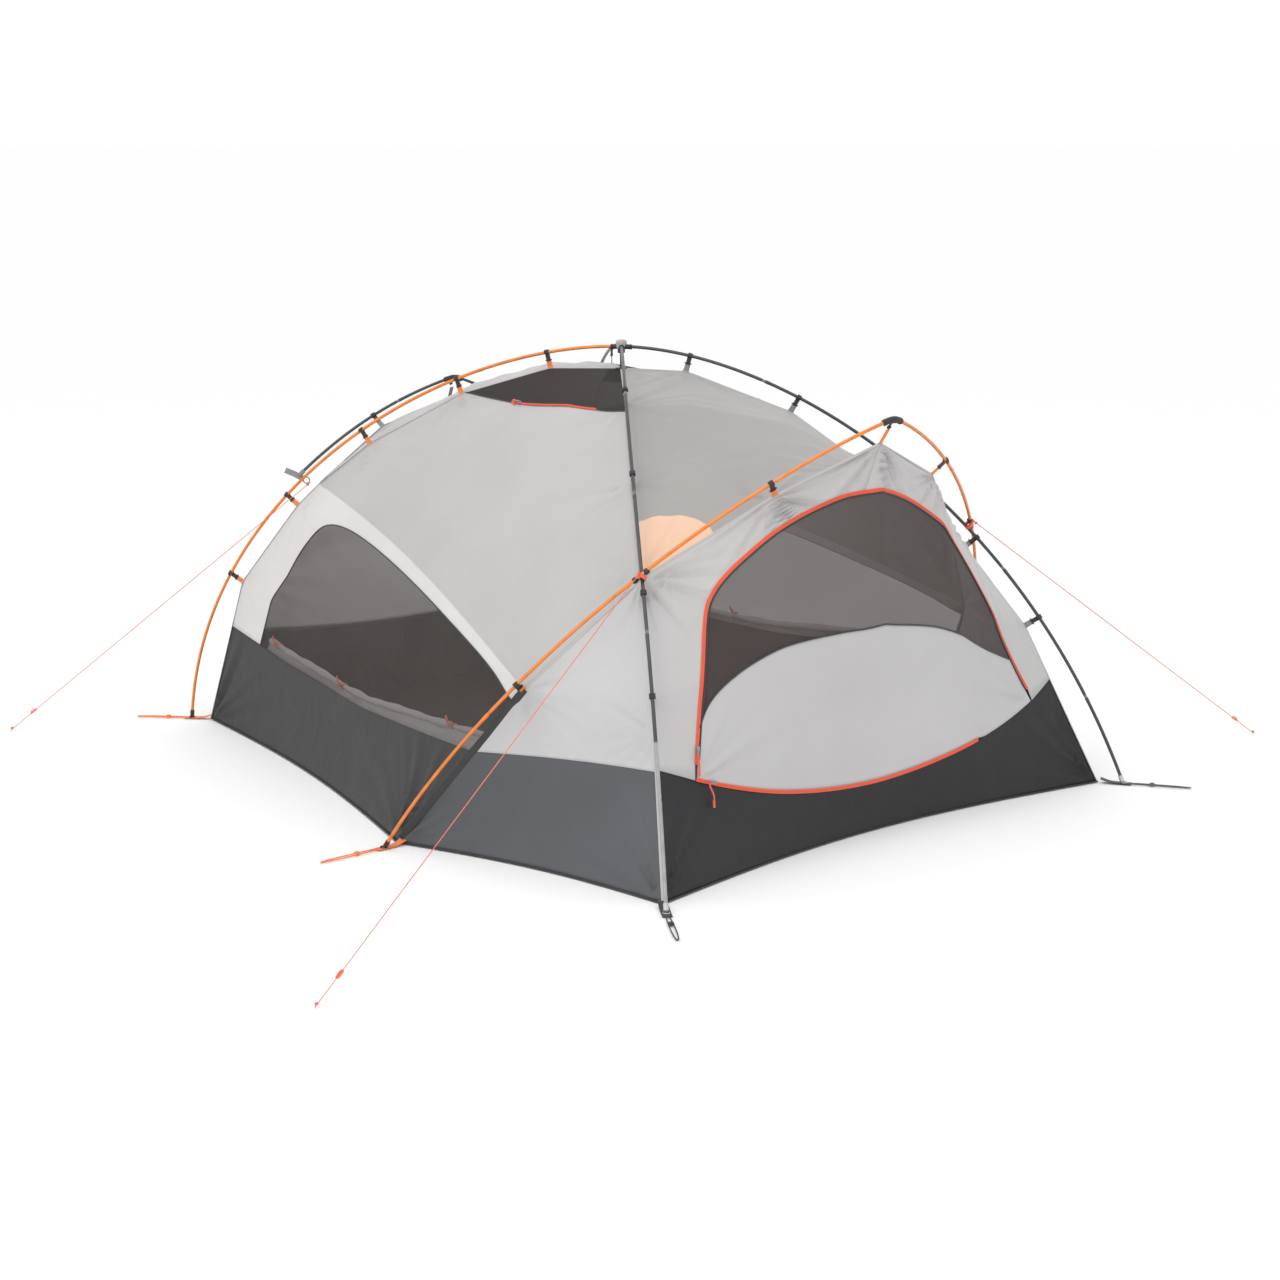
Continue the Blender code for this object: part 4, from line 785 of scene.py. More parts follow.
# Floor and tub: one bathtub of dark coated nylon, seamed to the canopy along a dipping line, with a piped hem
# that is pulled tight to the six corners.
TAPE_DARK = cloth_material("dark_binding", (0.03, 0.03, 0.033), 0.5, 0.1, 0.05, 0.1)
PIPING_R, PIPING_Z = 0.0022, 0.0028
UP = np.array([0, 0, 1.0])
rims = [seam["ground_front"], seam["ground_corner", RIGHT][::-1], seam["ground_side", RIGHT][::-1],
        seam["ground_rear"][::-1], seam["ground_side", LEFT], seam["ground_corner", LEFT]]
rim = np.vstack([resample(r, 25)[:-1] for r in rims])
rings = np.linspace(0, 1, 30)[:, None, None]
floor_grid = UP * 0.0015 + np.array([0, 0.02, 0]) * (1 - rings) + rim * rings
floor_verts, floor_faces = skin(floor_grid[1:], caps=False)
floor_faces.append(np.arange(len(rim))[None, ::-1])
floor_sheet = build("floor_sheet", [(floor_verts, floor_faces)], TUB_CLOTH, nodes=["floor"],
                    closed=False, uv=floor_verts[:, :2])


def ground_corners(key):
    """The corners of a wall on the ground, where the pegging loops pull."""
    return [wall[key](0.0, 1.0), wall[key](1.0, 1.0)]


def tub_wall(name, key, node, columns, seed):
    """Tub wall from its upper edge down to the ground, with folds fanning from its two ground corners."""
    u = np.linspace(0, 1, columns)
    top, low = tub_top(key, u), level(wall[key], u, 0.0035)
    v = between(top[:, None], low[:, None], 26)[..., 0]
    # The front tub wall takes the painted-shade copy of the tub nylon, the front corners the painted-sheen copy.
    mat = SHADED_TUB_FRONT_CLOTH if key == "front" else PAINTED_SHEEN_TUB_CLOTH if key[0] == "corner" else TUB_CLOTH
    cloth(name, wall[key](np.broadcast_to(u, v.shape), v), mat, [node], ground_corners(key), reach=0.14,
          height=0.018, rays=(11, 17, 27), seed=seed, sag=0.008)


tub_wall("tub_front_wall", "front", "tub_front", 150, seed=3)
tub_wall("tub_rear_wall", "rear", "tub_rear", 130, seed=4)
for side, word in ((LEFT, "left"), (RIGHT, "right")):
    tub_wall(f"tub_{word}_wall", ("side", side), f"tub_{word}", 130, seed=5)
    tub_wall(f"tub_front_{word}_wall", ("corner", side), f"tub_front_{word}", 80, seed=6)
hem = [tube(np.maximum(r, UP * PIPING_Z - 9 * (1 - UP)), PIPING_R, 8, UP) for r in rims]
build("tub_hem_piping", hem, TAPE_DARK)


# Roof: four light grey panels meet at the crown. Each side panel opens near the crown as a triangular vent of
# net, and a small orange pocket shows through the front panel in the corner at each hoop crossing.
POCKET = np.array([0.185, 0.205])
VENT = ((0.0, 0.46), (0.09, 0.40), (0.19, 0.32), (0.29, 0.20), (0.36, 0.09), (0.385, 0.0))


def clip_points(*keys):
    """The clip places along seams, where the lines change direction, with the seam ends."""
    found = []
    for key in keys:
        line = seam[key]
        bend = np.linalg.norm(np.diff(unit(np.diff(line, axis=0)), axis=0), axis=1)
        found += [line[i + 1] for i in np.nonzero(bend > 0.04)[0][::2]] + [line[0], line[-1]]
    return found


def panel(at, uv):
    """Points of a wall on a grid of shares."""
    return at(uv[..., 0], uv[..., 1])


square = np.stack(np.meshgrid(np.linspace(0, 1, 90), np.linspace(0, 1, 90)), -1)
pulls = clip_points(("front_up", LEFT), ("front_up", RIGHT), ("hoop_up", LEFT), ("hoop_up", RIGHT))
# The front roof panel wears the darkest painted-shade copy of the nylon; the rear and side roof panels below wear
# the roof copy, also painted shade.
roof, grid = cloth("roof_front_panel", panel(wall["roof_front"], square), SHADED_FRONT_ROOF_CLOTH,
                   ["roof_front"], pulls, reach=0.16, seed=11)
pocket = np.full(grid.shape[:2], -1.0)
for side in (LEFT, RIGHT):
    corner = seam["front_low", side][0]
    edges = np.stack([unit(seam["front_up", side][-9] - corner), unit(seam["hoop_up", side][8] - corner)])
    reach = np.abs((grid - corner) @ np.linalg.pinv(edges)) / POCKET
    pocket = np.maximum(pocket, POCKET[0] * (1 - (reach**1.6).sum(-1)))
value_attribute(roof, "pocket", pocket)
pulls = clip_points(("rear_up", LEFT), ("rear_up", RIGHT), ("brow", LEFT), ("brow", RIGHT))
cloth("roof_rear_panel", panel(wall["roof_rear"], square), SHADED_ROOF_CLOTH, ["roof_rear"], pulls,
      reach=0.16, seed=12)
vent_rim = smooth_line(VENT, 61)
for side, word in ((LEFT, "left"), (RIGHT, "right")):
    at = wall["roof", side]
    far = np.vstack([resample([(0, 1), (1, 1)], 41), resample([(1, 1), (1, 0)], 21)[1:]])
    pulls = clip_points(("front_up", side), ("rear_up", side), ("fold", side))
    cloth(f"roof_{word}_panel", panel(at, between(vent_rim, far, 90)), SHADED_ROOF_CLOTH, [f"roof_{word}"],
          pulls, reach=0.16, seed=13)
    # The vent nets wear the dark, dense painted-shade net.
    cloth(f"vent_{word}_net", panel(at, between(vent_rim * 0.02, vent_rim, 40)), SHADED_VENT_NET,
          [f"vent_{word}"], sag=0.004)
    points, normals = wall_line(("roof", side), vent_rim)
    build(f"vent_{word}_piping", [tube(points + normals * 0.0012, 0.0016, 8, UP)], TAPE_DARK)


# Front wall and door: the wall is cut round a D-shaped door. The door's upper part is net, its lower part a
# solid light panel with a bound upper edge; both swing about the line between the zip's two ends.
DOOR = ((0.085, 0.655), (0.094, 0.52), (0.108, 0.36), (0.12, 0.225), (0.137, 0.175), (0.168, 0.142),
        (0.21, 0.12), (0.26, 0.102), (0.33, 0.089), (0.41, 0.091), (0.455, 0.104), (0.50, 0.120),
        (0.545, 0.117), (0.61, 0.119), (0.69, 0.138), (0.765, 0.174), (0.825, 0.232), (0.855, 0.32),
        (0.872, 0.46), (0.915, 0.66))
DOOR_PANEL = ((0.114, 0.496), (0.144, 0.464), (0.194, 0.441), (0.252, 0.432), (0.312, 0.436), (0.40, 0.454),
              (0.49, 0.474), (0.60, 0.474), (0.66, 0.478), (0.72, 0.494), (0.80, 0.526))
ZIP_GAP, ZIP_END, FLAP_GAP = 0.0030, 0.75, 0.0075
BINDING_R, BACK = 0.0022, np.array([0, 1.0, 0])
at = wall["front"]
outline = smooth_line(DOOR, 161)
outline[[0, -1], 1] = tub_top("front", outline[[0, -1], 0])
frame_edge = shift("front", outline, -ZIP_GAP)
frame_edge[[0, -1], 1] = tub_top("front", frame_edge[[0, -1], 0])
middle = len(outline) // 2
corner = resample([(0, tub_top("front", [0.0])[0]), (0, 0)], 33)
left_edge = np.vstack([corner, resample([(0, 0), (0.5, 0)], middle - 31)[1:]])
right_edge = left_edge[::-1] * [-1, 1] + [1, 0]
pulls = clip_points(("hoop_up", LEFT), ("hoop_up", RIGHT))
for word, inner, outer in (("left", frame_edge[:middle + 1], left_edge),
                           ("right", frame_edge[middle:], right_edge)):
    # The front wall panels wear the darker painted-shade copy of the nylon.
    cloth(f"wall_front_{word}_panel", panel(at, between(inner, outer, 36)), SHADED_FRONT_CLOTH,
          [f"wall_front_{word}"], pulls, reach=0.15, height=0.013, rays=(11, 19, 31), seed=21)
door_edge = shift("front", outline, ZIP_GAP)
sill_u = np.linspace(door_edge[0, 0], door_edge[-1, 0], 121)
zipped = np.clip((ZIP_END + 0.02 - sill_u) / 0.02, 0.15, 1)
sill = np.column_stack([sill_u, tub_top("front", sill_u) - 2 * ZIP_GAP * zipped / column("front", sill_u)])
arch = door_edge[door_edge[:, 1] < 0.55]
split = smooth_line([arch[0] + [0, 0.004], *DOOR_PANEL, arch[-1] + [0, 0.004]], len(arch))
cloth("door_net", panel(at, between(arch, split, 50)), DOOR_NET, ["door_mesh"], body="door", sag=0.004)
# The door's lower panel wears a darker painted-shade copy of the nylon.
cloth("door_lower_panel", panel(at, between(smooth_line(split, 121), sill, 36)), SHADED_DOOR_CLOTH,
      ["door_panel"], [at(*door_edge[0]), at(*door_edge[-1])], reach=0.2, body="door", sag=0.006, seed=22)
points, normals = wall_line("front", shift("front", outline[2:-2], FLAP_GAP))
build("door_zip_flap", [tube(resample(points + normals * 0.0016, 260), BINDING_R, 8, BACK)], TAPE_DARK,
      body="door")
points, normals = wall_line("front", split)
build("door_panel_binding", [tube(points + normals * 0.001, BINDING_R, 8, BACK)], TAPE_DARK, body="door")


# Side walls: a narrow strip of light cloth above a big window of net that reaches the hoop leg and the tub;
# the corner panels beside the door are one piece of light cloth, and the rear wall is plain.
WINDOW_START, WINDOW_END = 0.142, (1.0, 0.085)
WINDOW = ((0.142, 0.36), (0.131, 0.24), (0.14, 0.142), (0.172, 0.096), (0.242, 0.072), (0.35, 0.063),
          (0.49, 0.061), (0.70, 0.061), (0.89, 0.06), (0.985, 0.085))
for side, word in ((LEFT, "left"), (RIGHT, "right")):
    key = ("corner", side)
    u = np.linspace(0, 1, 70)
    v = between(np.full((70, 1), 0.01), tub_top(key, u)[:, None], 70)[..., 0]
    pulls = [seam["leg", side][0], seam["hoop_low", side][0], seam["front_low", side][20]]
    # The corner panels wear a darker painted-shade copy of the nylon.
    cloth(f"corner_{word}_panel", wall[key](np.broadcast_to(u, v.shape), v), SHADED_CORNER_CLOTH,
          [f"corner_{word}"], pulls, reach=0.14, seed=31)
    key = ("side", side)
    at = wall[key]
    curve = smooth_line(WINDOW, 81)
    edge = np.vstack([resample([(WINDOW_START, tub_top(key, [WINDOW_START])[0]), curve[0]], 25)[:-1], curve])
    edge[-1] = WINDOW_END
    corner = resample([(0, tub_top(key, [0.0])[0]), (0, 0)], 30)
    outer = np.vstack([corner, resample([(0, 0), (1, 0)], len(edge) - 29)[1:]])
    cloth(f"wall_{word}_panel", panel(at, between(edge, outer, 24)), WALL_CLOTH, [f"wall_{word}"],
          clip_points(("fold", side), ("rear_low", side)), reach=0.12, height=0.005, seed=32)
    base_u = np.linspace(WINDOW_START, 1, len(curve))
    base = np.column_stack([base_u, tub_top(key, base_u)])
    cloth(f"window_{word}_net", panel(at, between(edge[24:], base, 60)), NET_CLOTH, [f"window_{word}"],
          sag=0.006)
    points, normals = wall_line(key, edge)
    build(f"window_{word}_binding", [tube(points + normals * 0.001, 0.0018, 8, np.array([side, 0.1, 0.2]))],
          TAPE_DARK)
u = np.linspace(0, 1, 110)
v = between(np.zeros((110, 1)), tub_top("rear", u)[:, None], 80)[..., 0]
pulls = clip_points(("brow", LEFT), ("brow", RIGHT), ("rear_low", LEFT), ("rear_low", RIGHT))
cloth("wall_rear_panel", wall["rear"](np.broadcast_to(u, v.shape), v), WALL_CLOTH, ["wall_rear"],
      pulls, reach=0.15, height=0.008, seed=33)


# Seams, straps and clips: felled seams under narrow woven tape follow the poles. At each clip a webbing strap
# is sewn into the seam and ends in a moulded hook that snaps over the pole: orange webbing under orange poles.
TAPE_LIGHT = cloth_material("seam_tape", (0.44, 0.435, 0.43), 0.6, 0.2, 0.05, 0.1)
ORANGE_WEBBING = cloth_material("orange_webbing", (0.80, 0.20, 0.05), 0.6, 0.25, 0.08, 0.1)
GREY_WEBBING = cloth_material("grey_webbing", (0.22, 0.225, 0.23), 0.6, 0.25, 0.08, 0.1)


def band(path, normal, width, thick, crown=0.3):
    """Flat ribbon: a rounded box section carried along the path, its face along the normal, ends filled."""
    path = np.asarray(path, float)
    normal = np.broadcast_to(normal, path.shape)
    tangent = unit(np.gradient(path, axis=0))
    up = unit(normal - (normal * tangent).sum(1, keepdims=True) * tangent)
    across = np.cross(tangent, up)
    a = np.linspace(0, 2 * np.pi, 16, endpoint=False)
    c, s = np.cos(a), np.sin(a)
    r = (np.abs(c) ** 6 + np.abs(s) ** 6) ** (-1 / 6)
    x = (c * r)[None, :, None] * np.broadcast_to(width, len(path))[:, None, None] / 2
    z = (s * r)[None, :, None] * thick / 2
    return skin(path[:, None] + across[:, None] * x + up[:, None] * z)


def ring(centre, normal, radius, thick, n=32):
    """Torus: a circle of the given radius in the plane of the normal, thickened."""
    normal = unit(np.asarray(normal, float))
    x = unit(np.cross(normal, [0.3, 0.9, 0.1]))
    y = np.cross(normal, x)
    a = np.linspace(0, 2 * np.pi, n, endpoint=False)[:, None]
    b = np.linspace(0, 2 * np.pi, 10, endpoint=False)[None, :, None]
    out = (np.cos(a) * x + np.sin(a) * y)[:, None]
    grid = np.asarray(centre) + out * (radius + thick * np.cos(b)) + normal * thick * np.sin(b)
    grid = np.concatenate([grid, grid[:1]])
    verts, faces = skin(grid, caps=False)
    k = grid.shape[1]
    faces = [np.where(faces[0] >= n * k, faces[0] - n * k, faces[0])]
    return verts[:n * k], faces


def hook(base, target, tangent, width):
    """Moulded hook: a stem up to the pole and an open ring round it, cut as one outline and given its width."""
    rise, drop = unit(target - base), np.linalg.norm(target - base)
    tangent = unit(tangent - (tangent @ rise) * rise)
    side = np.cross(rise, tangent)
    inner, outer, stem = POLE_R + 0.0006, POLE_R + 0.0034, 0.0026
    a, b = math.asin(stem / outer), math.asin(stem / inner)
    out = np.linspace(-(np.pi - a), math.radians(120), 30)
    back = np.linspace(math.radians(120), -(np.pi + min(b, 0.4)), 30)
    shape = np.vstack([[drop * 0.45, -stem], np.column_stack([drop + outer * np.cos(out), outer * np.sin(out)]),
                       np.column_stack([drop + inner * np.cos(back), inner * np.sin(back)]), [drop * 0.45, stem]])
    flat = base + shape[:, :1] * rise + shape[:, 1:] * side
    return skin(np.stack([flat - tangent * width / 2, flat + tangent * width / 2]))


def clip(name, line, pole_curve, share, orange, width=0.015):
    """Strap and hook at one clip: webbing from the seam up through a slot in the hook, with a sewn foot."""
    at_pole = pole_curve[int(round(share * (len(pole_curve) - 1)))]
    fine = resample(line, 2001)
    base = fine[np.linalg.norm(fine - at_pole, axis=1).argmin()]
    i = int(np.clip(np.linalg.norm(pole_curve - base, axis=1).argmin(), 1, len(pole_curve) - 2))
    target, tangent = pole_curve[i], unit(pole_curve[i + 1] - pole_curve[i - 1])
    rise = unit(target - base)
    side = np.cross(rise, tangent)
    hang = np.linalg.norm(target - base)
    s = np.linspace(0, 1, 14)[:, None]
    run = base - rise * 0.004 + rise * s * (hang * 0.62)
    flare = width * (1.0 + 0.9 * np.exp(-s[:, 0] * 9))
    webbing = ORANGE_WEBBING if orange else GREY_WEBBING
    build(f"strap_{name}", [band(run, side, flare, 0.0016)], webbing)
    a = np.linspace(0, 2 * np.pi, 24)[:, None]
    slot_ring = base + rise * hang * 0.52 + side * 0.0035 * np.cos(a) + tangent * width * 0.62 * np.sin(a)
    parts = [hook(base, target, tangent, width * 0.8), tube(slot_ring, 0.0014, 8, rise)]
    hook_piece = build(f"hook_{name}", parts, BLACK_NYLON, smooth=False)
    round_over = hook_piece.modifiers.new("round_over", "BEVEL")
    round_over.width, round_over.segments = 0.0005, 2


for side, word in ((LEFT, "left"), (RIGHT, "right")):
    front, rear, hoop = front_pole(side), rear_pole(side), hoop_pole(side)
    lines = {"front": np.vstack([seam["front_up", side], seam["front_low", side][1:]]),
             "rear": np.vstack([seam["rear_up", side], seam["rear_low", side][1:]])}
    outward = {"front": np.array([side * 0.5, -0.7, 0.9]), "rear": np.array([side * 0.6, 0.75, 0.9])}
    names = {"front": "seam_b_front" if side == LEFT else "seam_a_front",
             "rear": "seam_a_rear" if side == LEFT else "seam_b_rear"}
    for place, line in lines.items():
        path = np.maximum(resample(line, 300), [-9, -9, 0.0040])
        build(f"{names[place]}_tape", [band(path, unit(outward[place]), 0.007, 0.0020)], TAPE_LIGHT,
              nodes=[names[place]])
    for number, share in enumerate((*CLIPS_HIGH[side], CLIP_CROSS, CLIP_FRONT_LOW)):
        clip(f"front_{word}_{number}", lines["front"], front, share, False)
    for number, share in enumerate((*CLIPS_REAR, *CLIPS_REAR_LOW)):
        clip(f"rear_{word}_{number}", lines["rear"], rear, share, side == LEFT)
    hoop_line = np.vstack([seam["hoop_up", side][::-1], seam["leg", side][1:]])
    for number, share in enumerate((KNEE_AT, CLIP_HOOP_HIGH)):
        clip(f"hoop_{word}_{number}", hoop_line, hoop, share, True)
    clip(f"brow_{word}", seam["brow", side], brow_pole(side), 0.5, False)
    fold = resample(seam["fold", side], 120)
    build(f"fold_{word}_seam", [band(fold, unit(np.array([side, 0.1, 0.8])), 0.005, 0.0016)], TAPE_LIGHT)
    leg = resample(seam["hoop_low", side], 90)[:87]
    outwards = unit(leg - [0, 0.2, 0.3])
    build(f"leg_{word}_binding", [band(leg + outwards * 0.0018, outwards, 0.019, 0.0022)], TAPE_DARK)
    tip = brow_pole(side)[0]
    way = unit(np.array([side * 0.70, 0.55, 0.38]))
    grip = resample([tip - way * 0.016 - [0, 0, 0.004], tip + way * 0.012, tip + way * 0.042], 14)
    face = unit(np.array([side * 0.6, -0.7, 0.35]))
    eye = ring(tip + [-side * 0.020, -0.010, -0.014], face, 0.009, 0.0017)
    cup = tube([tip - [0, 0, 0.001], tip + unit(brow_pole(side)[4] - tip) * 0.022], POLE_R + 0.0022, 16)
    build(f"brow_{word}_tab", [band(grip, face, 0.017, 0.0024), eye, cup], GREY_WEBBING)
hoop_runs = [seam["leg", LEFT][::-1], seam["hoop_up", LEFT][1:], seam["hoop_up", RIGHT][-2::-1],
             seam["leg", RIGHT][1:]]
hoop_seam = resample(np.vstack(hoop_runs), 700)
hoop_seam[:, 2] = np.maximum(hoop_seam[:, 2], 0.0050)
outwards = unit(hoop_seam - np.array([0, -0.2, 0.1]))
build("seam_hoop_tape", [band(hoop_seam, outwards, 0.007, 0.0020)], TAPE_LIGHT,
      nodes=["seam_hoop"])
build("seam_brow_tape", [band(brow_edge, unit(np.array([0, 0.7, 0.8])), 0.010, 0.0022)], TAPE_LIGHT,
      nodes=["seam_brow"])
crown_cloth = np.array([0, 0, CROWN_CLOTH])
a = np.linspace(0, 2 * np.pi, 32, endpoint=False)
circle = crown_cloth + 0.016 * np.column_stack([np.cos(a), np.sin(a), 0 * a])
disc = np.stack([circle + [0, 0, z] for z in (-0.0012, 0.0012)])
tie = band([crown_cloth, crown_point - [0, 0, 0.024]], BACK, 0.010, 0.0016)
build("crown_patch", [skin(disc), tie], TAPE_DARK, nodes=["crown_tab"], sharp=40)
for name, peak, hub, face, webbing in (
        ("hood_strap", np.array(HOOD_PEAK), front_hub, np.array([0, -1.0, 0.3]), ORANGE_WEBBING),
        ("brow_strap", np.array(BROW_CLOTH_PEAK), rear_hub, np.array([0, 1.0, 0.3]), GREY_WEBBING)):
    strap = resample([peak, peak + (hub - peak) * 0.55], 12)
    build(name, [band(strap, face, 0.013, 0.0018)], webbing)


# Zips: coil zips on coral tape. The door zip runs round the arch and three quarters along the sill; the left
# vent has a short one. Each slider is a plated body with a cord pull.
CORAL_TAPE = cloth_material("coral_zip_tape", (0.80, 0.115, 0.055), 0.55, 0.2, 0.06, 0.1)
CORAL_CORD = cloth_material("coral_cord", (0.78, 0.13, 0.08), 0.6, 0.2, 0.08, 0.1)
ZIP_METAL = solid_material("plated_zinc", (0.30, 0.29, 0.29), 0.3, 0.9, 1200, 0.1)


def repeat(shape, places, x, y, z):
    """Copies of one closed shape (verts, faces) set at places along the given axes, as a list of arrays."""
    verts, faces = shape
    all_verts = (places[:, None] + verts[None, :, :1] * x[:, None] + verts[None, :, 1:2] * y[:, None]
                 + verts[None, :, 2:] * z[:, None])
    shifts = np.arange(len(places))[:, None, None] * len(verts)
    return all_verts.reshape(-1, 3), [(f[None] + shifts).reshape(-1, f.shape[1]) for f in faces]


def small_box(x, y, z):
    """Box of that size about the origin."""
    ends = (-0.5, 0.5)
    corners = np.array([[i, j, k] for i in ends for j in ends for k in ends]) * [x, y, z]
    sides = [[0, 1, 3, 2], [4, 6, 7, 5], [0, 4, 5, 1], [2, 3, 7, 6], [0, 2, 6, 4], [1, 5, 7, 3]]
    return corners, [np.array(sides)]


def zip_run(name, line, lift, width, nodes=(), pitch=0.0030):
    """Zip: a flat tape lifted off a wall line, with a row of small coil teeth standing on its middle."""
    points, normals = line[0] + line[1] * lift, line[1]
    path = resample(points, int(distance(points)[-1] / 0.012))
    facing = unit(resample(normals, len(path)))
    count = int(distance(points)[-1] / pitch)
    places, up = resample(points, count), unit(resample(normals, count))
    tangent = unit(np.gradient(places, axis=0))
    across = np.cross(tangent, up)
    up = np.cross(across, tangent)
    teeth = repeat(small_box(pitch * 0.55, 0.0034, 0.0014), places + up * 0.0016, tangent, across, up)
    build(name, [band(path, facing, width, 0.0016), teeth], CORAL_TAPE, nodes=nodes,
          smooth=False)


stop = int(np.searchsorted(sill_u, ZIP_END))
mid_u = np.r_[outline[0, 0], sill_u[1:stop]]
sill_mid = np.column_stack([mid_u, tub_top("front", mid_u) - ZIP_GAP / column("front", mid_u)])
zip_run("door_zip_arch", wall_line("front", outline[1:-1]), 0.0012, 0.0095, ["zip_door"])
zip_run("door_zip_sill", wall_line("front", sill_mid), 0.0012, 0.0095)
zip_run("vent_zip_run", wall_line(("roof", LEFT), vent_rim[18:50]), 0.0025, 0.0070, ["zip_vent"])


def placed(shape, place, x, y, z):
    """A unit shape carried to a place and stretched along three vectors."""
    verts, faces = shape
    return place + verts[:, :1] * x + verts[:, 1:2] * y + verts[:, 2:] * z, faces


def zip_pull(name, node, body):
    """Slider: a rounded body over the zip, a stamped tab, and a short doubled cord with a moulded end."""
    co = np.array([v.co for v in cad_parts[node].data.vertices])
    centre = co.mean(0)
    axes = np.linalg.svd(co - centre, full_matrices=False)[2]
    along_ = axes[0]
    normal = unit(centre - np.array([0, 0, 0.4]))
    normal = unit(normal - (normal @ along_) * along_)
    across = np.cross(along_, normal)
    reach = (co - centre) @ along_
    head, tail = centre + along_ * reach.max(), centre + along_ * reach.min()
    near_head, near_tail = np.abs(reach - reach.max()) < 0.015, np.abs(reach - reach.min()) < 0.015
    if near_head.mean() <= near_tail.mean():
        head, tail = tail, head
    way = unit(tail - head)
    block = placed(rounded_block(np.zeros(3), (1, 1, 1), 3), head + way * 0.007, way * 0.013, across * 0.009,
                   normal * 0.005)
    tab = np.array([head + way * 0.006 + normal * 0.004, head + way * 0.024 + normal * 0.003])
    build(f"{name}_body", [block, band(tab, normal, 0.0055, 0.0014)], ZIP_METAL, body, [node],
          sharp=40)
    start, down = head + way * 0.022 + normal * 0.003, -UP
    hanging = np.array([start, start + way * 0.010 + down * 0.004 + normal * 0.006,
                        start + down * 0.026 + normal * 0.011, start + down * 0.045 + normal * 0.013])
    strands = [tube(smooth_line(hanging, 24) + across * o, 0.0012, 8, across) for o in (-0.0013, 0.0013)]
    grip = tube(smooth_line(hanging[-2:] + [[0, 0, -0.012], [0, 0, -0.010]], 12), 0.0030, 12, across)
    build(f"{name}_cord", [*strands, grip], CORAL_CORD, body)


zip_pull("door_side_pull", "slider_side", "zip_slider_side")
zip_pull("door_sill_pull", "slider_sill", "zip_slider_sill")
zip_pull("vent_pull", "slider_vent", "vent_zip_slider")


# Feet: a webbing tab sewn to each tub corner carries a plated eyelet for the pole's tip and a cord loop for
# the peg. The front loops are black and grey, the side and rear ones orange.
BLACK_WEBBING = cloth_material("black_webbing", (0.03, 0.03, 0.033), 0.55, 0.2, 0.08, 0.1)
ORANGE_CORD = cloth_material("orange_cord", (0.86, 0.20, 0.05), 0.6, 0.2, 0.08, 0.1)
GREY_CORD = cloth_material("grey_cord", (0.10, 0.10, 0.11), 0.6, 0.2, 0.08, 0.1)
STEEL = solid_material("eyelet_steel", (0.55, 0.55, 0.56), 0.28, 0.95, 1200, 0.1)
LOOP_SIZE = {"front": ((0.55, -0.835), 0.185), "side": ((1.0, 0.0), 0.190), "rear": ((0.70, 0.714), 0.174)}


def loop_path(start, out, across, length, spread, n=60):
    """Long closed loop on the ground: cos a along it and sin a across it, squared off lengthways."""
    a = np.linspace(0, 2 * np.pi, n)
    x = np.clip(np.cos(a) * np.maximum(np.abs(np.cos(a)), 0.02) ** -0.3, -1, 1)
    return start + out * ((1 + x[:, None]) / 2 * length) + across * spread * np.sin(a)[:, None]


for side, word in ((LEFT, "left"), (RIGHT, "right")):
    for place, spot, pole_curve in (("front", FRONT_FOOT, front_pole(side)[::-1]),
                                    ("side", SIDE_FOOT, hoop_pole(side)),
                                    ("rear", REAR_FOOT, rear_pole(side)[::-1])):
        (ox, oy), length = LOOP_SIZE[place]
        out = unit(np.array([side * ox, oy, 0.0]))
        across = np.cross([0, 0, 1.0], out)
        tip = np.array([side * spot[0], spot[1], 0.0])
        rise = unit(pole_curve[3] - pole_curve[0])
        orange = place != "front"
        webbing = ORANGE_WEBBING if orange else BLACK_WEBBING
        cord_mat = ORANGE_CORD if orange else (BLACK_WEBBING if side == LEFT else GREY_CORD)
        tab = np.array([tip - out * 0.062 + [0, 0, 0.012], tip - out * 0.035 + [0, 0, 0.004],
                        tip + [0, 0, 0.0022], tip + out * 0.022 + [0, 0, 0.0022]])
        name = f"foot_{place}_{word}"
        build(f"{name}_tab", [band(smooth_line(tab, 24), UP, 0.024, 0.0022)], webbing,
              nodes=[name])
        eyelet = ring(tip + [0, 0, 0.0046], UP, 0.0078, 0.0016)
        cup = tube([tip + rise * 0.009, tip + rise * 0.026], 0.0062, 20)
        build(f"{name}_eyelet", [eyelet, cup], STEEL if place == "front" else BLACK_NYLON,
              sharp=40)
        loop = loop_path(tip + out * 0.016, out, across, length - 0.020, 0.006) + [0, 0, 0.0028]
        knot = rounded_block(tip + out * (length * 0.42) + [0, 0, 0.0052], (0.014, 0.014, 0.009), 2.4)
        build(f"{name}_loop", [tube(loop, 0.0017, 8, UP), knot], cord_mat)


# Guylines: braided cord 2.2 mm thick, tied to webbing loops at the hoop crossings and at the rear left
# corner of the brow, taut to where their pegs would be, each with a moulded three-hole tensioner.
GUY_CORD = cloth_material("guyline_cord", (0.78, 0.16, 0.11), 0.6, 0.2, 0.10, 0.1)
TENSIONER = solid_material("tensioner_nylon", (0.80, 0.16, 0.06), 0.45, grain=700, depth=0.2)
GUY_R, TENSIONER_AT, GUY_SHARE = 0.0011, 0.092, 0.565
GUY_FRONT_LEFT_END, GUY_FRONT_RIGHT_END, GUY_REAR_END = (-1.765, -1.113), (1.570, -1.060), (-1.221, 1.392)


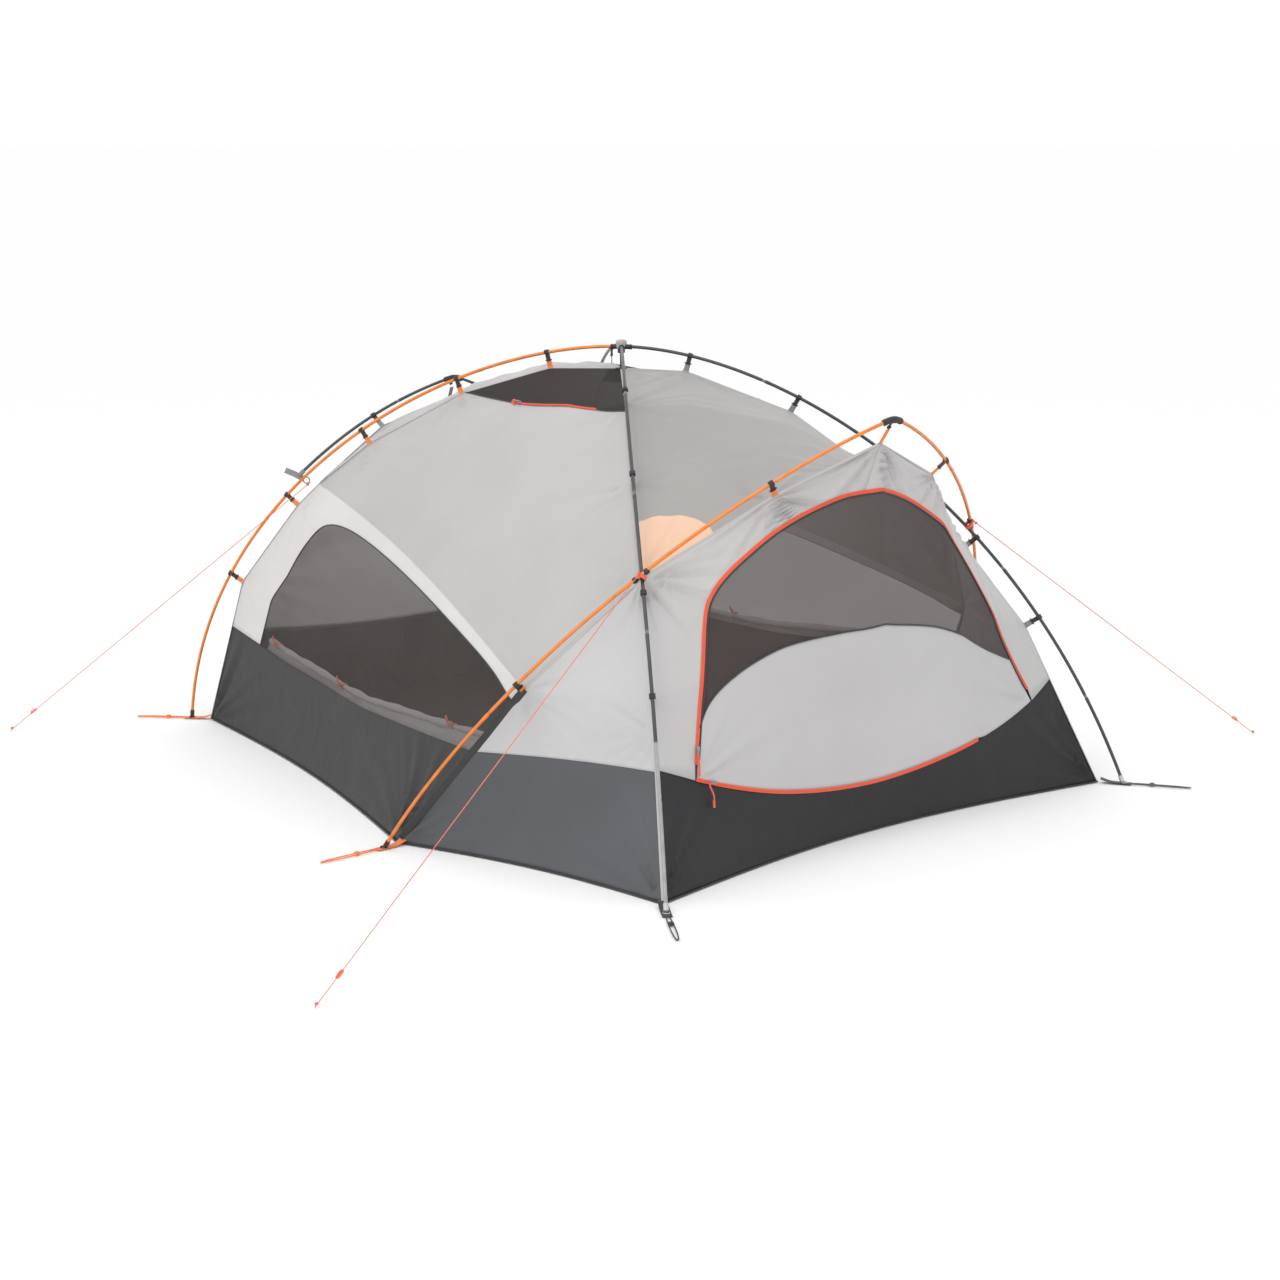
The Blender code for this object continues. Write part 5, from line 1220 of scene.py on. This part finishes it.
def guyline(name, top, end):
    """Straight taut cord from the webbing loop to the ground, its tensioner, and the knot at its end."""
    top, end = np.asarray(top, float), np.array([*end, GUY_R + 0.0006])
    away = unit(end - top)
    path = resample([top, end], 30)
    side = unit(np.cross(away, UP))
    up = np.cross(side, away)
    cord = build(f"guyline_{name}", [tube(path, GUY_R, 10, UP)], GUY_CORD, nodes=[f"guy_{name}"])
    knots = [rounded_block(top + away * 0.012, (0.008, 0.008, 0.008), 2.4),
             rounded_block(end - away * 0.006 + [0, 0, 0.0030], (0.009, 0.009, 0.007), 2.4)]
    knot = build(f"guyline_{name}_knot", knots, GUY_CORD)
    middle = end - away * TENSIONER_AT
    block = placed(rounded_block(np.zeros(3), (1, 1, 1), 5), middle, away * 0.024, side * 0.0095, up * 0.0050)
    holes = [ring(middle + away * s + up * 0.0024, up, 0.0022, 0.0008, 20) for s in (-0.0075, 0, 0.0075)]
    slack = np.array([middle - away * 0.0075 + up * 0.003, middle + up * 0.006,
                      middle + away * 0.0075 + up * 0.003])
    body = f"line_tensioner_{name}"
    build(f"tensioner_{name}_body", [block, *holes], TENSIONER, body, [f"tensioner_{name}"],
          sharp=40)
    build(f"tensioner_{name}_bight", [tube(smooth_line(slack, 20), GUY_R, 8, side)], GUY_CORD, body)


def crossing(word, side, hoop, loop_top):
    """Where hoop and front pole cross: a moulded hook block on each side and a webbing loop over both poles."""
    front = front_pole(side)
    gap = np.linalg.norm(hoop[:, None] - front[None], axis=2)
    i, j = np.unravel_index(gap.argmin(), gap.shape)
    middle = (hoop[i] + front[j]) / 2
    hoop_way, pole_way = unit(hoop[i + 1] - hoop[i - 1]), unit(front[j + 1] - front[j - 1])
    out = unit(np.cross(hoop_way, pole_way))
    out = out if out @ (middle - [0, 0, 0.4]) > 0 else -out
    shape = rounded_block(np.zeros(3), (1, 1, 1), 3)
    blocks = [placed(shape, hoop[i] + way * 0.017 - out * 0.002, way * 0.017, np.cross(way, out) * 0.0135,
                     out * 0.0140) for way in (hoop_way, -hoop_way)]
    build(f"crossing_{word}_block", blocks, BLACK_NYLON, sharp=40)
    a = np.linspace(0, 2 * np.pi, 49)[:, None]
    diagonal = unit(hoop_way + pole_way * np.sign(hoop_way @ pole_way))
    round_poles = middle + out * np.cos(a) * 0.0125 + np.cross(diagonal, out) * np.sin(a) * 0.0125
    reach = loop_top - middle
    tail = resample([middle + out * 0.0125, middle + out * 0.010 + reach * 0.6, loop_top - reach * 0.02], 12)
    build(f"crossing_{word}_loop", [band(round_poles, unit(round_poles - middle), 0.010, 0.0016),
                                    band(tail, out, 0.010, 0.0016)], CORAL_WEBBING)


CORAL_WEBBING = cloth_material("coral_webbing", (0.80, 0.13, 0.065), 0.6, 0.25, 0.08, 0.1)
for side, word, end in ((LEFT, "front_left", GUY_FRONT_LEFT_END),
                        (RIGHT, "front_right", GUY_FRONT_RIGHT_END)):
    hoop = hoop_pole(side)
    knot = int(GUY_SHARE * (len(hoop) - 1))
    guyline(word, hoop[knot] - inward(hoop)[knot] * (POLE_R + 0.004), end)
    crossing(word, side, hoop, hoop[knot] - inward(hoop)[knot] * (POLE_R + 0.004))
guyline("rear_left", np.array(REAR_CROSS) * [-1, 1, 1] + [-0.022, 0.014, 0.004], GUY_REAR_END)


# Inside each window a light storm panel is rolled down on the sill. It lies along the tub's edge at the rear,
# runs level towards the hoop leg, and is held by pink toggles on short loops.
STORM_CLOTH = cloth_material("storm_panel_nylon", (0.50, 0.49, 0.49), crease=0.3)
for side, word in ((LEFT, "left"), (RIGHT, "right")):
    key = ("side", side)
    u = np.linspace(0.155, 0.985, 120)
    sill_v = tub_top(key, u)
    lift = 0.025 + np.clip((u - 0.50) / 0.485, 0, 1) ** 1.3 * (tub_top(key, [0.985])[0] - 0.33)
    points, normals = wall_line(key, np.column_stack([u, sill_v - lift]))
    inside = points - normals * 0.022
    lumps = 0.0095 + 0.002 * np.sin(u * 60) * np.sin(u * 23 + 1)
    pinch = np.min(np.abs(u[:, None] - np.array([0.2, 0.5, 0.9])[None]), axis=1)
    radius = lumps * (0.65 + 0.35 * np.clip(pinch / 0.04, 0, 1))
    build(f"window_{word}_roll", [tube(inside, radius, 20, UP)], STORM_CLOTH)
    sill_points, sill_normals = wall_line(key, np.column_stack([u, sill_v + 0.02]))
    hang = between(inside, sill_points - sill_normals * 0.012, 24)
    cloth(f"window_{word}_storm_panel", hang, STORM_CLOTH, [], [hang[0, 60], hang[0, 110]], reach=0.1,
          seed=41)
    for number, q in enumerate((0.2, 0.5, 0.9)):
        i = int((q - 0.155) / 0.83 * 119)
        way = unit(inside[i + 1] - inside[i - 1])
        front = normals[i]
        tail = inside[i] + np.array([front * 0.010 + [0, 0, 0.010], front * 0.012 - way * 0.012,
                                     front * 0.010 - way * 0.030 + [0, 0, 0.022]])
        toggle = [ring(inside[i], way, radius[i] + 0.001, 0.0022),
                  band(smooth_line(tail, 14), front, 0.008, 0.0014)]
        build(f"window_{word}_toggle_{number}", toggle, CORAL_CORD)
